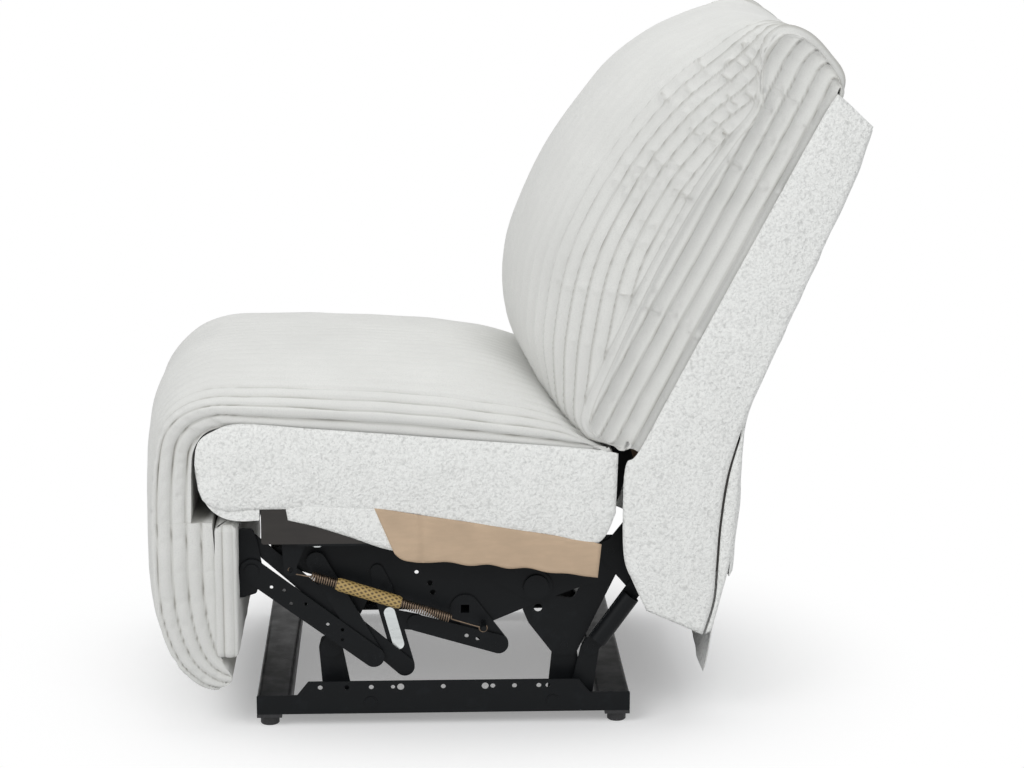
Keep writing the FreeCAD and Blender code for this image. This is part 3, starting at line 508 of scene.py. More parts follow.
def plush_grid(stations, side_columns, top_columns, tuck, rounding=0):
    """Rows of a pad from its stations (lower, edge, crown), with each point's way across its cloth."""
    row_step = 1.7 * settings("plush").step
    stops = np.array([[*lower, *edge, *crown] for lower, edge, crown in stations], float)
    places = even_places(stops[:, 2:4], row_step)
    rows, ways = [], []
    for values in through(stops, places):
        side, top = half_section(values[0:2], values[2:4], values[4:6], tuck)
        if rounding:
            whole = resampled(np.concatenate([side, top[1:]]), 260)
            line = resampled(softened(whole, rounding), side_columns + top_columns - 1)
        else:
            line = np.concatenate([resampled(side, side_columns), resampled(top, top_columns)[1:]])
        rows.append(mirrored_row(line))
        way = lengths(line)
        ways.append(np.concatenate([way, way[::-1][1:]]))
    return np.array(rows), np.array(ways)


def closed_rows(grid, under_columns):
    """Adds the flat underside that joins the two lower lines of each row."""
    start = grid[:, -1]
    end = grid[:, 0]
    shares = np.linspace(0, 1, under_columns + 2)[1:-1]
    under = start[:, None, :] * (1 - shares[None, :, None]) + end[:, None, :] * shares[None, :, None]
    return np.concatenate([grid, under], axis=1)


def widened(values, columns):
    """Values of the upper columns, with 1 for those of the underside."""
    return np.concatenate([values, np.ones((values.shape[0], columns))], axis=1)


def soft_step(values, low, high):
    """0 below the low value and 1 above the high one, with a smooth change between them."""
    share = np.clip((values - low) / (high - low), 0, 1)
    return share * share * (3 - 2 * share)


def bell(values, middle, width):
    """A smooth hump, 1 high, over the middle value."""
    return np.exp(-((values - middle) / width) ** 2)


def crease_field(along, across, rib, creases, generator):
    """Depth of short pinches across the ribs, each rib's own pinch a little off its neighbour's.

    A crease is its place along the pad, its slant, the two ends of its reach across, its width and depth.
    """
    depth = np.zeros_like(along)
    ribs = np.floor(across / rib).astype(int)
    draws = 400
    jitter = generator.normal(0, 5.0, draws)
    strength = generator.uniform(0.35, 1.0, draws)
    for number, (place, slant, low, high, width, amount) in enumerate(creases):
        shift = jitter[(ribs * 7 + number * 13) % draws]
        power = strength[(ribs * 5 + number * 11) % draws]
        near = soft_step(across, low - 8, low + 8) * (1 - soft_step(across, high - 8, high + 8))
        depth += amount * power * near * bell(along, place + slant * (across - low) + shift, width)
    return depth


# Seat pad and footrest pad

seat_stations = [
    ((503, 403), (497, 407), (470, 420)),
    ((500, 404), (470, 419), (432, 455)),
    ((432, 409.5), (430, 432), (390, 489)),
    ((320, 418.8), (320, 447), (310, 515)),
    ((209, 428), (209, 459), (209, 526)),
    ((90, 437.8), (90, 469), (90, 530)),
    ((0, 445), (-10, 476), (0, 529.5)),
    ((-34, 444.5), (-62, 476), (-64, 524)),
    ((-64, 434), (-100, 462), (-112, 501)),
    ((-80, 410), (-124, 436), (-146, 458)),
    ((-84, 380), (-135, 395), (-158, 402)),
    ((-85, 345), (-139.5, 350), (-161, 352)),
    ((-86, 305), (-141, 305), (-161.5, 305)),
]

footrest_stations = [
    ((-57, 306), (-141, 306), (-161.5, 306)),
    ((-54, 262), (-141.5, 262), (-161.5, 262)),
    ((-53.5, 222), (-141, 218), (-160.5, 216)),
    ((-53, 170), (-137, 172), (-154, 172)),
    ((-52, 124), (-127, 132), (-140, 128)),
    ((-42, 96), (-110, 97), (-118, 92)),
    ((-33, 80), (-82, 70), (-86, 66)),
    ((-36, 70), (-60, 61.5), (-62, 61)),
    ((-42, 68), (-50, 64), (-50, 63.5)),
]


def row_ends(grid, ribs):
    """Rows moved outwards at the first row so that every rib ends in a rounded tip."""
    depth, reach = 9.0, 46.0
    along = np.gradient(grid, axis=0)
    along /= np.maximum(np.linalg.norm(along, axis=2, keepdims=True), 1e-9)
    run = lengths(grid[:, grid.shape[1] // 2])[:, None]
    share = depth * ribs * (1 - soft_step(run, 0, reach))
    return grid - along * share[..., None]


def ribbed_pad(name, stations, creases, tuck, seed):
    """A plush pad with ribs along it, shallow in the middle, softly pinched across them."""
    plush = settings("plush")
    side_columns, top_columns = 20, int(310 / plush.step)
    flatter = 0.20
    grid, way = plush_grid(stations, side_columns, top_columns, tuck, rounding=36)
    normals = grid_normals(grid)
    middle = way.max(axis=1, keepdims=True)
    ribs = rib_form(middle - way + plush.rib_width / 2, plush.rib_width)
    centre = np.abs(grid[..., 0]) / half_cushion
    depth = plush.rib_height * (flatter + (1 - flatter) * soft_step(centre, 0.68, 0.97))
    ends = soft_step(way, 0, 7)
    run = lengths(grid[:, side_columns])[:, None] + 0 * way
    generator = np.random.default_rng(seed)
    pinch = crease_field(run, way, plush.rib_width, creases, generator)
    lift = -np.maximum(depth * (1 - ribs), pinch) + 1.6 * wander(grid, 60.0, 3)
    moved = grid + normals * lift[..., None] * (0.35 + 0.65 * ends[..., None])
    # Painted shade: how far the plush colour is darkened, deepest in the grooves between the ribs and in the
    # pinches.
    painted_shade = np.clip(np.maximum((1 - ribs) * (depth / plush.rib_height), pinch / 7), 0, 1)
    under = 12
    whole = closed_rows(moved, under)
    return tube_mesh(name, whole, finish("plush"), {"painted_shade": widened(painted_shade, under)})


def seat_pad():
    """The chaise pad: seat, front roll and the stretch that bends over the knee."""
    knee_folds = [(568.0 + 19.5 * number, 0.05, 0, 62, 3.6, 3.8) for number in range(7)]
    hanging_folds = [(712, 0.1, 0, 74, 4, 4), (742, 0, 0, 60, 4, 3.6), (766, 0.1, 10, 80, 4, 3)]
    flat_dents = [(520, 0, 0, 34, 6, 1.6), (330, 0.1, 0, 28, 6, 1.2)]
    creases = knee_folds + hanging_folds + flat_dents
    pad = ribbed_pad("plush_seat_pad", seat_stations, creases, 5.0, 3)
    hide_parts("seat_cushion", "knee_pad")
    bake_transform(pad)


def footrest_pad():
    """The padded front of the footrest, down to its rounded lower edge."""
    creases = [(26, 0, 0, 90, 4.5, 3), (64, 0.1, 0, 80, 4, 3), (108, 0, 0, 84, 5, 2.6),
               (150, 0.1, 0, 90, 4.5, 3), (196, 0, 0, 80, 5, 2.6), (232, 0, 0, 90, 4.5, 3.5)]
    pad = ribbed_pad("plush_footrest_pad", footrest_stations, creases, 4.0, 8)
    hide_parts("footrest_pad")
    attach(pad, "footrest")


# Back cushion

back_stations = [
    ((536, 409), (500, 416), (476, 424)),
    ((546, 404), (474, 432), (428, 452)),
    ((560, 430), (470, 462), (396, 492)),
    ((598, 502), (503, 542), (366, 562)),
    ((648, 596), (552, 648), (366, 648)),
    ((690, 674), (590, 720), (394, 732)),
    ((722, 734), (628, 785), (439, 816)),
    ((756, 798), (668, 843), (502, 900)),
    ((783, 849), (700, 887), (568, 958)),
    ((802, 885), (703, 932), (630, 986)),
    ((810, 903), (706, 964), (675, 998)),
    ((813, 911), (731, 990), (714, 998)),
    ((815, 913), (766, 982), (751, 989)),
    ((816, 911), (798, 950), (793, 967)),
    ((815, 903), (816, 923), (814, 930)),
    ((811, 896), (817, 903), (817, 905)),
]


def back_folds(run, way, on_band, rib):
    """Depth of the cross folds on the back cushion's front and on its side bands."""
    panel = [(150, 0.10, 96, 190, 4, 3.4), (232, 0.12, 100, 250, 4.2, 5),
             (318, 0.16, 104, 214, 4, 4.4), (345, 0.20, 104, 190, 4.2, 4)]
    panel += [(372.0 + 16.0 * number, 0.22, 104, 246 - 14 * number, 4, 5.2) for number in range(4)]
    panel += [(476.0 + 18.0 * number, 0.28, 104, 250 - 10 * number, 4, 6) for number in range(4)]
    panel += [(566.0 + 17.0 * number, 0.05, 96, 176, 4.4, 6.2) for number in range(5)]
    band = [(90, 0, 40, 96, 4, 2.4), (238, -0.10, 0, 104, 4, 4.6), (256, -0.06, 50, 104, 4, 3.6),
            (462, 0.05, 0, 104, 4, 5.2), (516, 0, 20, 104, 4.4, 5.4), (548, 0, 10, 104, 4.4, 5),
            (580, 0, 40, 104, 5, 5.2)]
    generator = np.random.default_rng(21)
    on_sides = crease_field(run, way, rib, band, generator)
    in_front = crease_field(run, way, rib, panel, generator)
    behind = run.max()
    strength = 1.2 * (1 - soft_step(run, behind - 110, behind - 50))
    return np.where(on_band, on_sides, in_front) * strength


def back_cushion():
    """The deep back pad: ribbed front, ribbed side bands, and a raised seam between them."""
    plush = settings("plush")
    side_columns, top_columns = int(104 / plush.step), int(372 / plush.step)
    grid, way = plush_grid(back_stations, side_columns, top_columns, tuck=6.0)
    seam_way = way[:, side_columns - 1][:, None]
    total = way.max(axis=1, keepdims=True)
    on_band = way < seam_way - 0.01
    rib = plush.rib_width * 1.12
    ribs = np.where(on_band, rib_form(way + rib * 0.3, rib), rib_form(total - way + rib / 2, rib))
    from_seam = np.abs(way - seam_way)
    centre = np.abs(grid[..., 0]) / half_cushion
    fade = np.where(on_band, 1.0, 0.12 + 0.88 * soft_step(centre, 0.48, 0.86))
    puff = np.where(on_band, 6.5 * np.sin(pi * np.clip(way / seam_way, 0, 1)), 0.0)
    run = lengths(grid[:, side_columns - 1])[:, None] + 0 * way
    top = run.max()
    ends = soft_step(run, 0, 26) * (1 - soft_step(run, top - 30, top))
    pinch = back_folds(run, way, on_band, rib)
    corner_run, corner_size = 612.0, 34.0
    corner = bell(run, corner_run, corner_size) * bell(way - seam_way, 14.0, corner_size)
    normals = grid_normals(grid)
    depth = plush.rib_height * fade
    welt = 2.4 * bell(from_seam, 0.0, 2.6) - 3.0 * bell(from_seam, 7.0, 3.4)
    grooves = np.maximum(depth * (1 - ribs) * (0.35 + 0.65 * soft_step(from_seam, 2, 10)), pinch)
    lift = (welt - grooves) * (0.3 + 0.7 * ends)
    lift += puff + 9.0 * corner + 2.4 * wander(grid, 75.0, 5) * ends
    moved = row_ends(grid, ribs) + normals * lift[..., None]
    # Painted shade: how far the plush colour is darkened, in the grooves, the folds and the dip beside the
    # seam.
    shades = [(1 - ribs) * fade * soft_step(from_seam, 1, 5), pinch / 9, 0.7 * bell(from_seam, 6.0, 2.2)]
    painted_shade = np.clip(np.maximum.reduce(shades), 0, 1)
    under = 16
    whole = closed_rows(moved, under)
    pad = tube_mesh("plush_back_cushion", whole, finish("plush"), {"painted_shade": widened(painted_shade, under)})
    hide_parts("back_cushion")
    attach(pad, "back")


# Cloth pieces

def on_side(pairs, x):
    """Side drawing points at one distance from the middle."""
    return [(x, y, z) for y, z in pairs]


def patch(first, last, step):
    """An even grid of points between two lines: rows along them, columns from one to the other."""
    first, last = np.array(first, float), np.array(last, float)
    halfway = (first + last) / 2
    places = even_places(halfway, step)
    start, end = through(first, places), through(last, places)
    columns = max(5, int(np.linalg.norm(end - start, axis=1).max() / step))
    share = np.linspace(0, 1, columns)[None, :, None]
    return start[:, None] * (1 - share) + end[:, None] * share


def cloth_shell(name, face, thickness, look, puff, rim, lumps, seed, extra=0.0):
    """A stuffed cloth face with a rolled rim, closed at the back. The face's normals point outwards."""
    normals = grid_normals(face)
    middle = lengths(face[:, face.shape[1] // 2])
    from_ends = np.minimum(middle, middle[-1] - middle)[:, None]
    steps = np.linalg.norm(np.diff(face, axis=1), axis=2)
    across = np.concatenate([np.zeros((len(face), 1)), np.cumsum(steps, axis=1)], axis=1)
    from_sides = np.minimum(across, across[:, -1:] - across)
    rolled_ends, rolled_sides = [np.sqrt(1 - (1 - np.clip(distance / rim, 0, 1)) ** 2)
                                 for distance in (from_ends, from_sides)]
    at_rim = 0.14
    full = at_rim + (1 - at_rim) * rolled_ends * rolled_sides
    swell = soft_step(np.minimum(from_ends, from_sides), 0, 45.0)
    lift = thickness * full + (puff * swell + lumps * wander(face, 42.0, seed)) * full + extra
    back = face - normals * thickness
    loop = np.concatenate([back + normals * lift[..., None], back[:, ::-1]], axis=1)
    return tube_mesh(name, loop, finish(look))


def side_face(upper, lower, x, side, step):
    """A grid facing outwards on one side of the chair, between two lines of the side drawing."""
    lines = [on_side(upper, x * side), on_side(lower, x * side)]
    return patch(*lines[::side], step)


def both_sides(name, upper, lower, outer, body, fill, replaced=None, **form):
    """The same boucle face on the left and on the right."""
    for side, word in sides:
        face = side_face(upper, lower, outer, side, settings("cloth").step)
        piece = cloth_shell(name + "_" + word, face, outer - cover_inner, "boucle", **form)
        if replaced:
            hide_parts(replaced + "_" + word)
        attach(piece, body)


bolster_line = [(10, 310), (-20, 309), (-46, 316), (-67, 338), (-77, 385), (-70, 422), (-46, 435),
                (-14, 443), (10, 441), (11, 376)]
side_upper = [(-79, 392), (-74, 422), (-52, 439), (-14, 449), (90, 441), (209, 431.5), (320, 422),
              (432, 413), (490, 407), (514, 402)]
side_lower = [(-78, 384), (-70, 342), (-40, 325), (0, 326), (90, 326), (183, 322), (300, 302.5),
              (410, 284.5), (484, 272), (511, 316)]
skirt_upper = [(46, 334), (90, 333), (150, 331), (186, 328), (199, 320)]
skirt_lower = [(50, 310), (90, 300), (140, 283.5), (176, 270), (207, 262)]
paper_upper = [(171, 327), (198, 323), (238, 316), (300, 306), (400, 289), (468, 277), (491, 271)]
paper_lower = [(199, 261), (216, 249.5), (262, 247), (319, 243), (404, 234), (468, 225), (486, 222.5)]
back_front_line = [(556, 172), (536, 215), (523, 252), (521, 330), (525, 386), (543, 405), (596.5, 506.5),
                   (650.5, 608.5), (703.5, 708.5), (757.5, 810.5), (796.5, 882.5), (811, 905.5)]
back_rear_line = [(636, 136), (650, 186), (654, 240), (658, 300), (668, 370), (691, 447), (715, 505),
                  (744, 572), (776, 646), (810, 724), (842, 800), (861, 860)]
wing_front_line = [(640, 137), (653.5, 186), (657.5, 240), (661.5, 300), (671.5, 370), (690, 437)]
wing_rear_line = [(648, 141), (661, 190), (673, 240), (681, 300), (687, 376), (692, 446)]
panel_line = [(863, 861), (848, 808), (810, 719), (755, 592), (696, 452), (688, 340), (677, 221)]
top_line = [(813, 903.5), (828, 891), (843, 877), (857, 863.5)]
flap_line = [(676, 229), (668, 180), (659, 141), (653, 104), (646, 68)]


def seat_cloth():
    """The cloth on the seat box: sides with a soft front end, the front roll, and short skirts."""
    both_sides("boucle_seat_side", side_upper, side_lower, half_body - 2.0, "seat", 0.5,
               replaced="seat_side_cover", puff=4.0, rim=15.0, lumps=2.2, seed=4.0)
    both_sides("boucle_seat_skirt", skirt_upper, skirt_lower, half_body - 3.5, "seat", 0.2,
               puff=1.0, rim=4.0, lumps=1.6, seed=6.0)
    line = np.array(bolster_line + bolster_line[:1])
    loop = softened(resampled(through(line, even_places(line, 2.0)), 74), 3)[:-1]
    centre = loop.mean(axis=0)
    stations = np.linspace(-cover_inner + 1.0, cover_inner - 1.0, 90)
    grid = np.zeros((len(stations), len(loop), 3))
    grid[..., 0] = stations[:, None]
    grid[..., 1:] = loop[None]
    away = grid[..., 1:] - centre
    away /= np.linalg.norm(away, axis=2, keepdims=True)
    fold = 1.6 * wander(grid * [1.0, 0.4, 0.4], 38.0, 9)
    grid[..., 1:] += away * (0.6 + fold)[..., None]
    roll = tube_mesh("boucle_front_roll", grid, finish("boucle"))
    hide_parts("seat_front_roll")
    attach(roll, "seat")


def dust_panels():
    """Stiff paper panels under the seat's sides, with one pressed fold and waving lower edges."""
    pressed = 232.0
    for side, word in sides:
        face = side_face(paper_upper, paper_lower, cover_inner + 3.6, side, settings("cloth").step * 0.8)
        fold = 3.0 * bell(face[..., 1], pressed, 3.0) - 1.8 * bell(face[..., 1] - pressed, 7.0, 3.0)
        rows = np.linspace(0, 1, face.shape[0])[:, None]
        hanging = np.linspace(0, 1, face.shape[1])[None, ::side]
        face[..., 2] += 2.0 * np.sin(31.0 * rows) * hanging * np.sin(pi * rows)
        sag = fold + 2.4 * hanging * (1 + np.sin(15.0 * rows + 2.0 * hanging))
        piece = cloth_shell("paper_panel_" + word, face, 1.5, "kraft", puff=0.0, rim=1.0, lumps=0.3,
                            seed=11.0, extra=sag * 0.6)
        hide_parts("dust_panel_" + word)
        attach(piece, "seat")


def across_back(line, reach, coarse):
    """A grid facing the rear, from the right end of a line of the side drawing to its left end."""
    return patch(on_side(line, -reach), on_side(line, reach), settings("cloth").step * coarse)


def back_cloth():
    """The cloth on the back: two sides, the rear panel and the narrow top."""
    both_sides("boucle_back_side", back_front_line, back_rear_line, half_body - 1.5, "back", 0.5,
               replaced="back_side_cover", puff=2.5, rim=10.0, lumps=1.6, seed=14.0)
    both_sides("boucle_back_wing", wing_front_line, wing_rear_line, half_body - 3.0, "back", 0.3,
               puff=1.5, rim=7.0, lumps=1.2, seed=15.0)
    reach = cover_inner - 0.5
    face = across_back(panel_line, reach, 1.5)
    panel = cloth_shell("boucle_rear_panel", face, 5.0, "boucle", puff=3.0, rim=8.0, lumps=2.0, seed=17.0)
    face = across_back(top_line, reach, 1.0)
    top = cloth_shell("boucle_back_top", face, 18.0, "boucle", puff=1.5, rim=7.0, lumps=1.0, seed=19.0)
    for piece, name in ((panel, "rear_panel"), (top, "back_top_cover")):
        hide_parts(name)
        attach(piece, "back")


def rear_flap():
    """The cloth flap that hangs behind the seat."""
    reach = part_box("rear_flap")[1].x * 1000 - 1.0
    face = across_back(flap_line, reach, 1.4)
    rows = np.linspace(0, 1, face.shape[0])[:, None]
    face[..., 1] += 3.0 * rows * np.sin(face[..., 0] / 47.0) + 2.0 * rows * wander(face, 60.0, 23)
    flap = cloth_shell("boucle_rear_flap", face, 3.0, "boucle", puff=0.0, rim=2.5, lumps=0.6, seed=24.0)
    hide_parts("rear_flap")
    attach(flap, "back")
    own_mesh(flap)


def footrest_back():
    """The cloth tray on the back of the footrest: a slim ribbed band."""
    low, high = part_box("footrest_back_cover")
    half = half_cushion - 1.0
    y_low, y_high = (low.y - rail_front) * 1000, (high.y - rail_front) * 1000
    corners = [(half, y_low), (half, y_high), (-half, y_high), (-half, y_low), (half, y_low)]
    loop = softened(resampled(np.array(corners, float), 420), 5)[:-1]
    heights = np.linspace(low.z * 1000, high.z * 1000, 44)
    grid = np.zeros((len(heights), len(loop), 3))
    grid[..., 0], grid[..., 1] = loop[None, :, 0], loop[None, :, 1]
    grid[..., 2] = heights[:, None]
    way = lengths(loop)[None] + 0 * heights[:, None]
    ribs = rib_form(way + 5.0, settings("plush").rib_width * 0.66)
    normals = -grid_normals(grid, closed=True)
    from_centre = grid[..., :2] - [0, (y_low + y_high) / 2]
    outwards = np.sign((normals[..., :2] * from_centre).sum(axis=2, keepdims=True))
    end = np.minimum(heights - heights[0], heights[-1] - heights)[:, None]
    tips = 7.0 * (1 - np.sqrt(1 - (1 - np.clip(end / 9.0, 0, 1)) ** 2))
    lift = 2.0 - 3.5 * (1 - ribs) - tips + 1.2 * wander(grid, 40.0, 27)
    grid += normals * lift[..., None] * outwards
    # Painted shade darkens the plush in the grooves between the ribs.
    tray = tube_mesh("plush_footrest_back", grid, finish("plush"), {"painted_shade": 0.9 * (1 - ribs)})
    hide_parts("footrest_back_cover")
    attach(tray, "footrest")


# Return springs

spring_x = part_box("spring_sleeves")[1].x * 1000 - 11.0
spring_hole = (52.0, 234.0)
spring_lug = (325.0, 145.0)
coil_start, coil_end = 30.0, 238.0
sleeve_start, sleeve_end = 68.0, 164.0


def wire_mesh(name, path, radius):
    """A round steel wire along a path of points."""
    path = np.array(path, float)
    ways = np.gradient(path, axis=0)
    ways /= np.linalg.norm(ways, axis=1, keepdims=True)
    across = np.cross(ways[0], [1.0, 0.2, 0.1])
    turns = np.linspace(0, 2 * pi, 9, endpoint=False)
    rings = []
    for point, way in zip(path, ways):
        across = across - way * np.dot(across, way)
        across /= np.linalg.norm(across)
        other = np.cross(way, across)
        rings.append(point + radius * (np.cos(turns)[:, None] * across + np.sin(turns)[:, None] * other))
    return tube_mesh(name, np.array(rings), finish("coil_steel"))


def spring_frame(side):
    """The spring's front hook point, its direction, two directions across it and its length."""
    start = np.array([spring_x * side, *spring_hole])
    way = np.array([0.0, spring_lug[0] - spring_hole[0], spring_lug[1] - spring_hole[1]])
    length = np.linalg.norm(way)
    way /= length
    first = np.array([1.0, 0.0, 0.0])
    return start, way, first, np.cross(way, first), length


def spring_path(side):
    """Hook, dense coil, and a straight wire with its hook."""
    start, way, first, second, length = spring_frame(side)
    radius, front_hook, rear_hook = 6.2, 5.0, 5.5
    turns = settings("metal").coil_turns
    hook = [(front_hook * cos(turn), front_hook * sin(turn))
            for turn in np.linspace(-1.2 * pi, 0.35 * pi, 16)]
    points = [start + way * (1.0 + along) + second * rise for along, rise in hook]
    points.append(start + way * (coil_start - 5.0) + second * 2.0)
    for turn in np.linspace(0, 2 * pi * turns, 14 * turns):
        along = coil_start + (coil_end - coil_start) * turn / (2 * pi * turns)
        swell = radius * min(1.0, 0.35 + turn / 5.0, 0.35 + (2 * pi * turns - turn) / 5.0)
        points.append(start + way * along + first * swell * cos(turn) + second * swell * sin(turn))
    points.append(start + way * (coil_end + 6.0) + second * 1.0)
    points.append(start + way * (length - 8.0) + second * 0.5)
    points += [start + way * (length - 1.0 + rear_hook * cos(turn)) + second * rear_hook * sin(turn)
               for turn in np.linspace(pi, -0.3 * pi, 16)]
    return points


def sleeve_mesh(name, side):
    """The braided sleeve round the coil, with its crossing strands raised."""
    start, way, first, second, _ = spring_frame(side)
    turns = np.linspace(0, 2 * pi, 72, endpoint=False)
    places = np.arange(sleeve_start, sleeve_end, 0.8)
    twist = places[:, None] / 7.0
    strands = [np.cos(8 * (turns[None] + direction * twist * 0.55)) for direction in (1, -1)]
    raised = (np.maximum(*strands) + 1) / 2
    end = np.minimum(places - places[0], places[-1] - places)[:, None]
    radius = 8.6 + 0.9 * raised - 1.2 * (1 - soft_step(end, 0, 5.0))
    grid = (start + way * places[:, None, None] + first * (radius * np.cos(turns))[..., None]
            + second * (radius * np.sin(turns))[..., None])
    return tube_mesh(name, grid, finish("sleeve"), {"strand": raised})


def return_springs():
    """Both return springs with their sleeves."""
    for side, word in sides:
        wire = wire_mesh("return_spring_" + word, spring_path(side), settings("metal").coil_wire / 2)
        sleeve = sleeve_mesh("spring_sleeve_" + word, side)
        for piece, name, slot in ((wire, "extension_springs", "spring_steel"),
                                  (sleeve, "spring_sleeves", "woven_sleeve")):
            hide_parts(name)
            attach(piece, "seat")
            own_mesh(piece)


# One operator for each piece or group of like pieces

class PIECE_OT_seat_pad(bpy.types.Operator):
    """Builds the ribbed seat pad that runs over the knee"""
    bl_idname = "recliner.seat_pad"
    bl_label = "Seat pad"

    def execute(self, context):
        seat_pad()
        return {"FINISHED"}


class PIECE_OT_footrest_pad(bpy.types.Operator):
    """Builds the ribbed footrest pad"""
    bl_idname = "recliner.footrest_pad"
    bl_label = "Footrest pad"

    def execute(self, context):
        footrest_pad()
        return {"FINISHED"}


class PIECE_OT_back_cushion(bpy.types.Operator):
    """Builds the deep ribbed back cushion"""
    bl_idname = "recliner.back_cushion"
    bl_label = "Back cushion"

    def execute(self, context):
        back_cushion()
        return {"FINISHED"}


class PIECE_OT_seat_cloth(bpy.types.Operator):
    """Builds the looped cloth on the seat's sides and front roll"""
    bl_idname = "recliner.seat_cloth"
    bl_label = "Seat cloth"

    def execute(self, context):
        seat_cloth()
        return {"FINISHED"}


class PIECE_OT_dust_panels(bpy.types.Operator):
    """Builds the stiff paper panels under the seat"""
    bl_idname = "recliner.dust_panels"
    bl_label = "Paper panels"

    def execute(self, context):
        dust_panels()
        return {"FINISHED"}


class PIECE_OT_back_cloth(bpy.types.Operator):
    """Builds the looped cloth on the back and its hanging flap"""
    bl_idname = "recliner.back_cloth"
    bl_label = "Back cloth"

    def execute(self, context):
        back_cloth()
        rear_flap()
        return {"FINISHED"}


class PIECE_OT_footrest_back(bpy.types.Operator):
    """Builds the slim padded band behind the footrest"""
    bl_idname = "recliner.footrest_back"
    bl_label = "Footrest back"

    def execute(self, context):
        footrest_back()
        return {"FINISHED"}


class PIECE_OT_return_springs(bpy.types.Operator):
    """Builds the return springs and their braided sleeves"""
    bl_idname = "recliner.return_springs"
    bl_label = "Return springs"

    def execute(self, context):
        return_springs()
        return {"FINISHED"}


# Frame finishes

coated = {
    "black_steel": ["base_rail_left", "base_rail_right", "front_cross_member", "rear_cross_member",
                    "front_posts", "rear_posts", "rear_swing_links", "front_swing_links", "control_tubes",
                    "seat_plate_left", "seat_plate_right", "plate_braces", "front_footrest_links",
                    "upper_footrest_links", "lower_footrest_links", "rear_footrest_links", "torque_tube",
                    "hub_cranks", "drive_links", "footrest_bracket_left", "footrest_bracket_right",
                    "back_bracket_left", "back_bracket_right", "seat_front_tube"],
    "rail_wood": ["seat_rear_rail", "back_stiles", "back_top_rail", "back_middle_rail", "back_bottom_rail",
                  "footrest_board"],
    "dark_wood": ["seat_side_rail_left", "seat_side_rail_right", "seat_front_rail", "back_side_panel_left",
                  "back_side_panel_right"],
    "webbing": ["seat_webbing", "back_webbing"],
    "glide_plastic": ["glides"],
    "zinc": ["link_straps", "seat_bolts"],
}


class FINISH_OT_frame(bpy.types.Operator):
    """Coats the steel, wood, webbing, plastic and plated parts of the frame"""
    bl_idname = "recliner.frame_finishes"
    bl_label = "Frame finishes"

    def execute(self, context):
        for look, names in coated.items():
            coat(names, look)
        for look in ("black_steel", "glide_plastic", "zinc"):
            smooth_shade(coated[look])
        return {"FINISHED"}


# Stage

def soft_light(name, place, aim, size, power):
    """A large soft lamp."""
    lamp = bpy.data.lights.new(name, "AREA")
    lamp.shape = "RECTANGLE"
    lamp.size, lamp.size_y = size
    lamp.energy = power
    holder = bpy.data.objects.new(name, lamp)
    holder.location = place
    holder.rotation_euler = (Vector(aim) - Vector(place)).to_track_quat("-Z", "Y").to_euler()
    bpy.context.scene.collection.objects.link(holder)


def seen_directly(tree):
    """1 for rays that go straight to the camera, or to it through metal or glass."""
    rays = node(tree, "ShaderNodeLightPath").outputs
    either = {0: rays["Is Camera Ray"], 1: rays["Is Glossy Ray"]}
    first = node(tree, "ShaderNodeMath", either, operation="MAXIMUM").outputs[0]
    either = {0: first, 1: rays["Is Transmission Ray"]}
    return node(tree, "ShaderNodeMath", either, operation="MAXIMUM").outputs[0]


def make_world():
    """Pale fill light all round, plain white where the camera sees it."""
    world = bpy.data.worlds.new("studio")
    bpy.context.scene.world = world
    world.use_nodes = True
    tree = world.node_tree
    tree.nodes.clear()
    fill = node(tree, "ShaderNodeBackground", {"Color": (0.97, 0.985, 1.0, 1.0), "Strength": 0.42})
    white = node(tree, "ShaderNodeBackground", {"Color": (1.0, 1.0, 1.0, 1.0), "Strength": 1.0})
    choice = {0: seen_directly(tree), 1: fill.outputs[0], 2: white.outputs[0]}
    mixed = node(tree, "ShaderNodeMixShader", choice)
    node(tree, "ShaderNodeOutputWorld", {"Surface": mixed.outputs[0]})


def make_floor():
    """A wide pale floor that takes the chair's shadow near it and is plain white further out."""
    reach = 30000
    corners = [(-reach, -reach, 0), (reach, -reach, 0), (reach, reach, 0), (-reach, reach, 0)]
    look = bpy.data.materials.new("floor")
    look.use_nodes = True
    tree = look.node_tree
    tree.nodes.clear()
    colour = (*settings("stage").floor, 1.0)
    lit = node(tree, "ShaderNodeBsdfDiffuse", {"Color": colour})
    glow = node(tree, "ShaderNodeEmission", {"Color": (1.0, 1.0, 1.0, 1.0), "Strength": 0.29})
    raised = node(tree, "ShaderNodeAddShader", {0: lit.outputs[0], 1: glow.outputs[0]})
    white = node(tree, "ShaderNodeEmission", {"Color": (1.0, 1.0, 1.0, 1.0), "Strength": 1.0})
    place = node(tree, "ShaderNodeTexCoord")
    centre = (0.0, 0.06, 0.0)
    centred = node(tree, "ShaderNodeVectorMath", {0: place.outputs["Object"], 1: centre}, operation="ADD")
    away = node(tree, "ShaderNodeVectorMath", {0: centred.outputs["Vector"]}, operation="LENGTH")
    far = soft_spread(tree, away.outputs["Value"], 0.30, 0.74)
    shown = node(tree, "ShaderNodeMixShader", {0: far, 1: raised.outputs[0], 2: white.outputs[0]})
    plain = node(tree, "ShaderNodeBsdfDiffuse", {"Color": colour})
    choice = {0: seen_directly(tree), 1: plain.outputs[0], 2: shown.outputs[0]}
    picked = node(tree, "ShaderNodeMixShader", choice)
    node(tree, "ShaderNodeOutputMaterial", {"Surface": picked.outputs[0]})
    floor = mesh_object("floor", corners, [(0, 1, 2, 3)], look)
    floor.data.transform(Matrix.Translation((0, -rail_front, 0)))


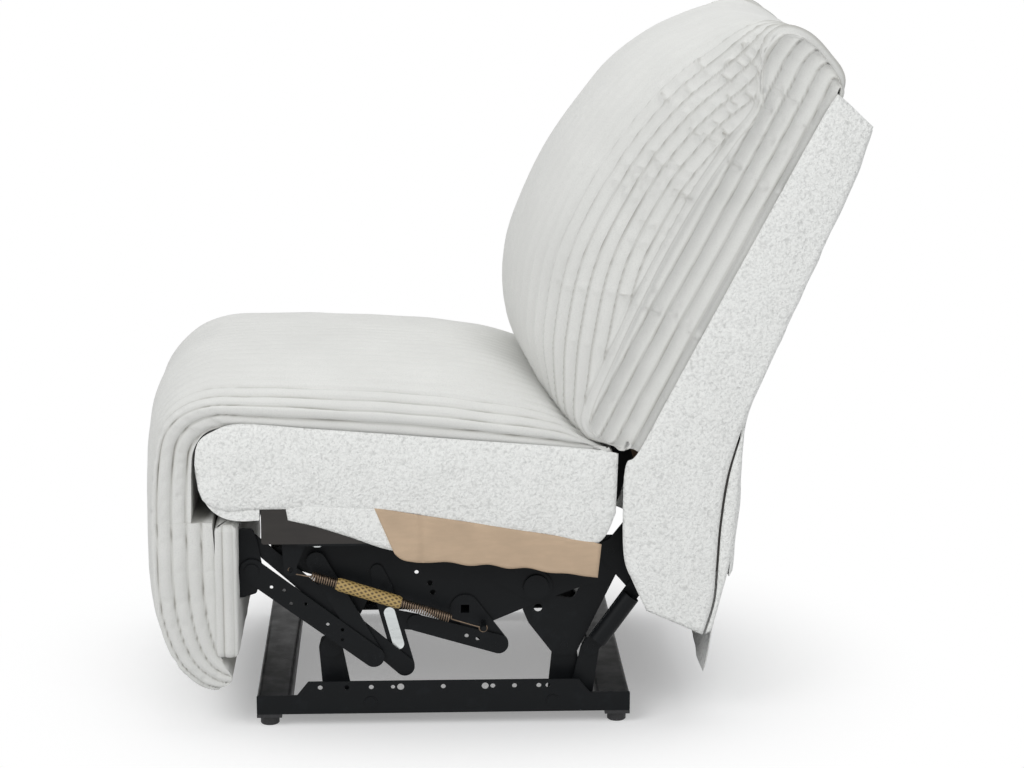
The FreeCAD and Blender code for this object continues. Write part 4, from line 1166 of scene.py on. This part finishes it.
def make_camera():
    """The photograph's view: from the sitter's left, a little above, turned slightly to the front."""
    camera = bpy.data.cameras.new("camera")
    camera.lens = settings("stage").lens
    camera.sensor_width = 36.0
    camera.clip_end = 100.0
    holder = bpy.data.objects.new("camera", camera)
    bpy.context.scene.collection.objects.link(holder)
    dip, turn = radians(11.95), radians(2.2)
    forward = Vector((-cos(dip) * cos(turn), cos(dip) * sin(turn), -sin(dip)))
    holder.location = at(4054.6, 220.4, 1298.3)
    holder.rotation_euler = forward.to_track_quat("-Z", "Y").to_euler()
    bpy.context.scene.camera = holder


class STAGE_OT_studio(bpy.types.Operator):
    """Sets the camera, the soft lamps, the pale world and the floor"""
    bl_idname = "recliner.studio"
    bl_label = "Studio"

    def execute(self, context):
        context.scene.view_settings.view_transform = "Standard"
        make_camera()
        make_world()
        make_floor()
        soft_light("key", (2.6, -2.4, 3.0), (0, 0, 0.45), (2.4, 2.4), 62.0)
        soft_light("side", (3.2, 1.6, 1.8), (0, 0.1, 0.5), (1.8, 1.8), 22.0)
        soft_light("top", (-0.6, 0.2, 3.4), (0, 0, 0.4), (2.6, 2.6), 34.0)
        return {"FINISHED"}


class VIEW3D_PT_recliner(bpy.types.Panel):
    """Lists the recliner's pieces and their sizes"""
    bl_label = "Recliner"
    bl_space_type = "VIEW_3D"
    bl_region_type = "UI"
    bl_category = "Recliner"

    def draw(self, context):
        layout = self.layout
        for operator in operators:
            layout.operator(operator.bl_idname)
        for name in groups:
            group = settings(name)
            for key in group.bl_rna.properties.keys():
                if key not in ("rna_type", "name"):
                    layout.prop(group, key)


groups = {"plush": PlushSettings, "cloth": ClothSettings, "metal": MetalSettings, "stage": StageSettings}
operators = [STAGE_OT_studio, FINISH_OT_frame, PIECE_OT_seat_pad, PIECE_OT_footrest_pad,
             PIECE_OT_back_cushion, PIECE_OT_seat_cloth, PIECE_OT_dust_panels, PIECE_OT_back_cloth,
             PIECE_OT_footrest_back, PIECE_OT_return_springs]


def register():
    for name, group in groups.items():
        bpy.utils.register_class(group)
        setattr(bpy.types.Scene, "recliner_" + name, bpy.props.PointerProperty(type=group))
    for made in operators + [VIEW3D_PT_recliner]:
        bpy.utils.register_class(made)


def unregister():
    for made in reversed(operators + [VIEW3D_PT_recliner]):
        bpy.utils.unregister_class(made)
    for name, group in groups.items():
        delattr(bpy.types.Scene, "recliner_" + name)
        bpy.utils.unregister_class(group)


def main():
    register()
    for operator in operators:
        category, call = operator.bl_idname.split(".")
        getattr(getattr(bpy.ops, category), call)()


if __name__ == "__main__":
    main()
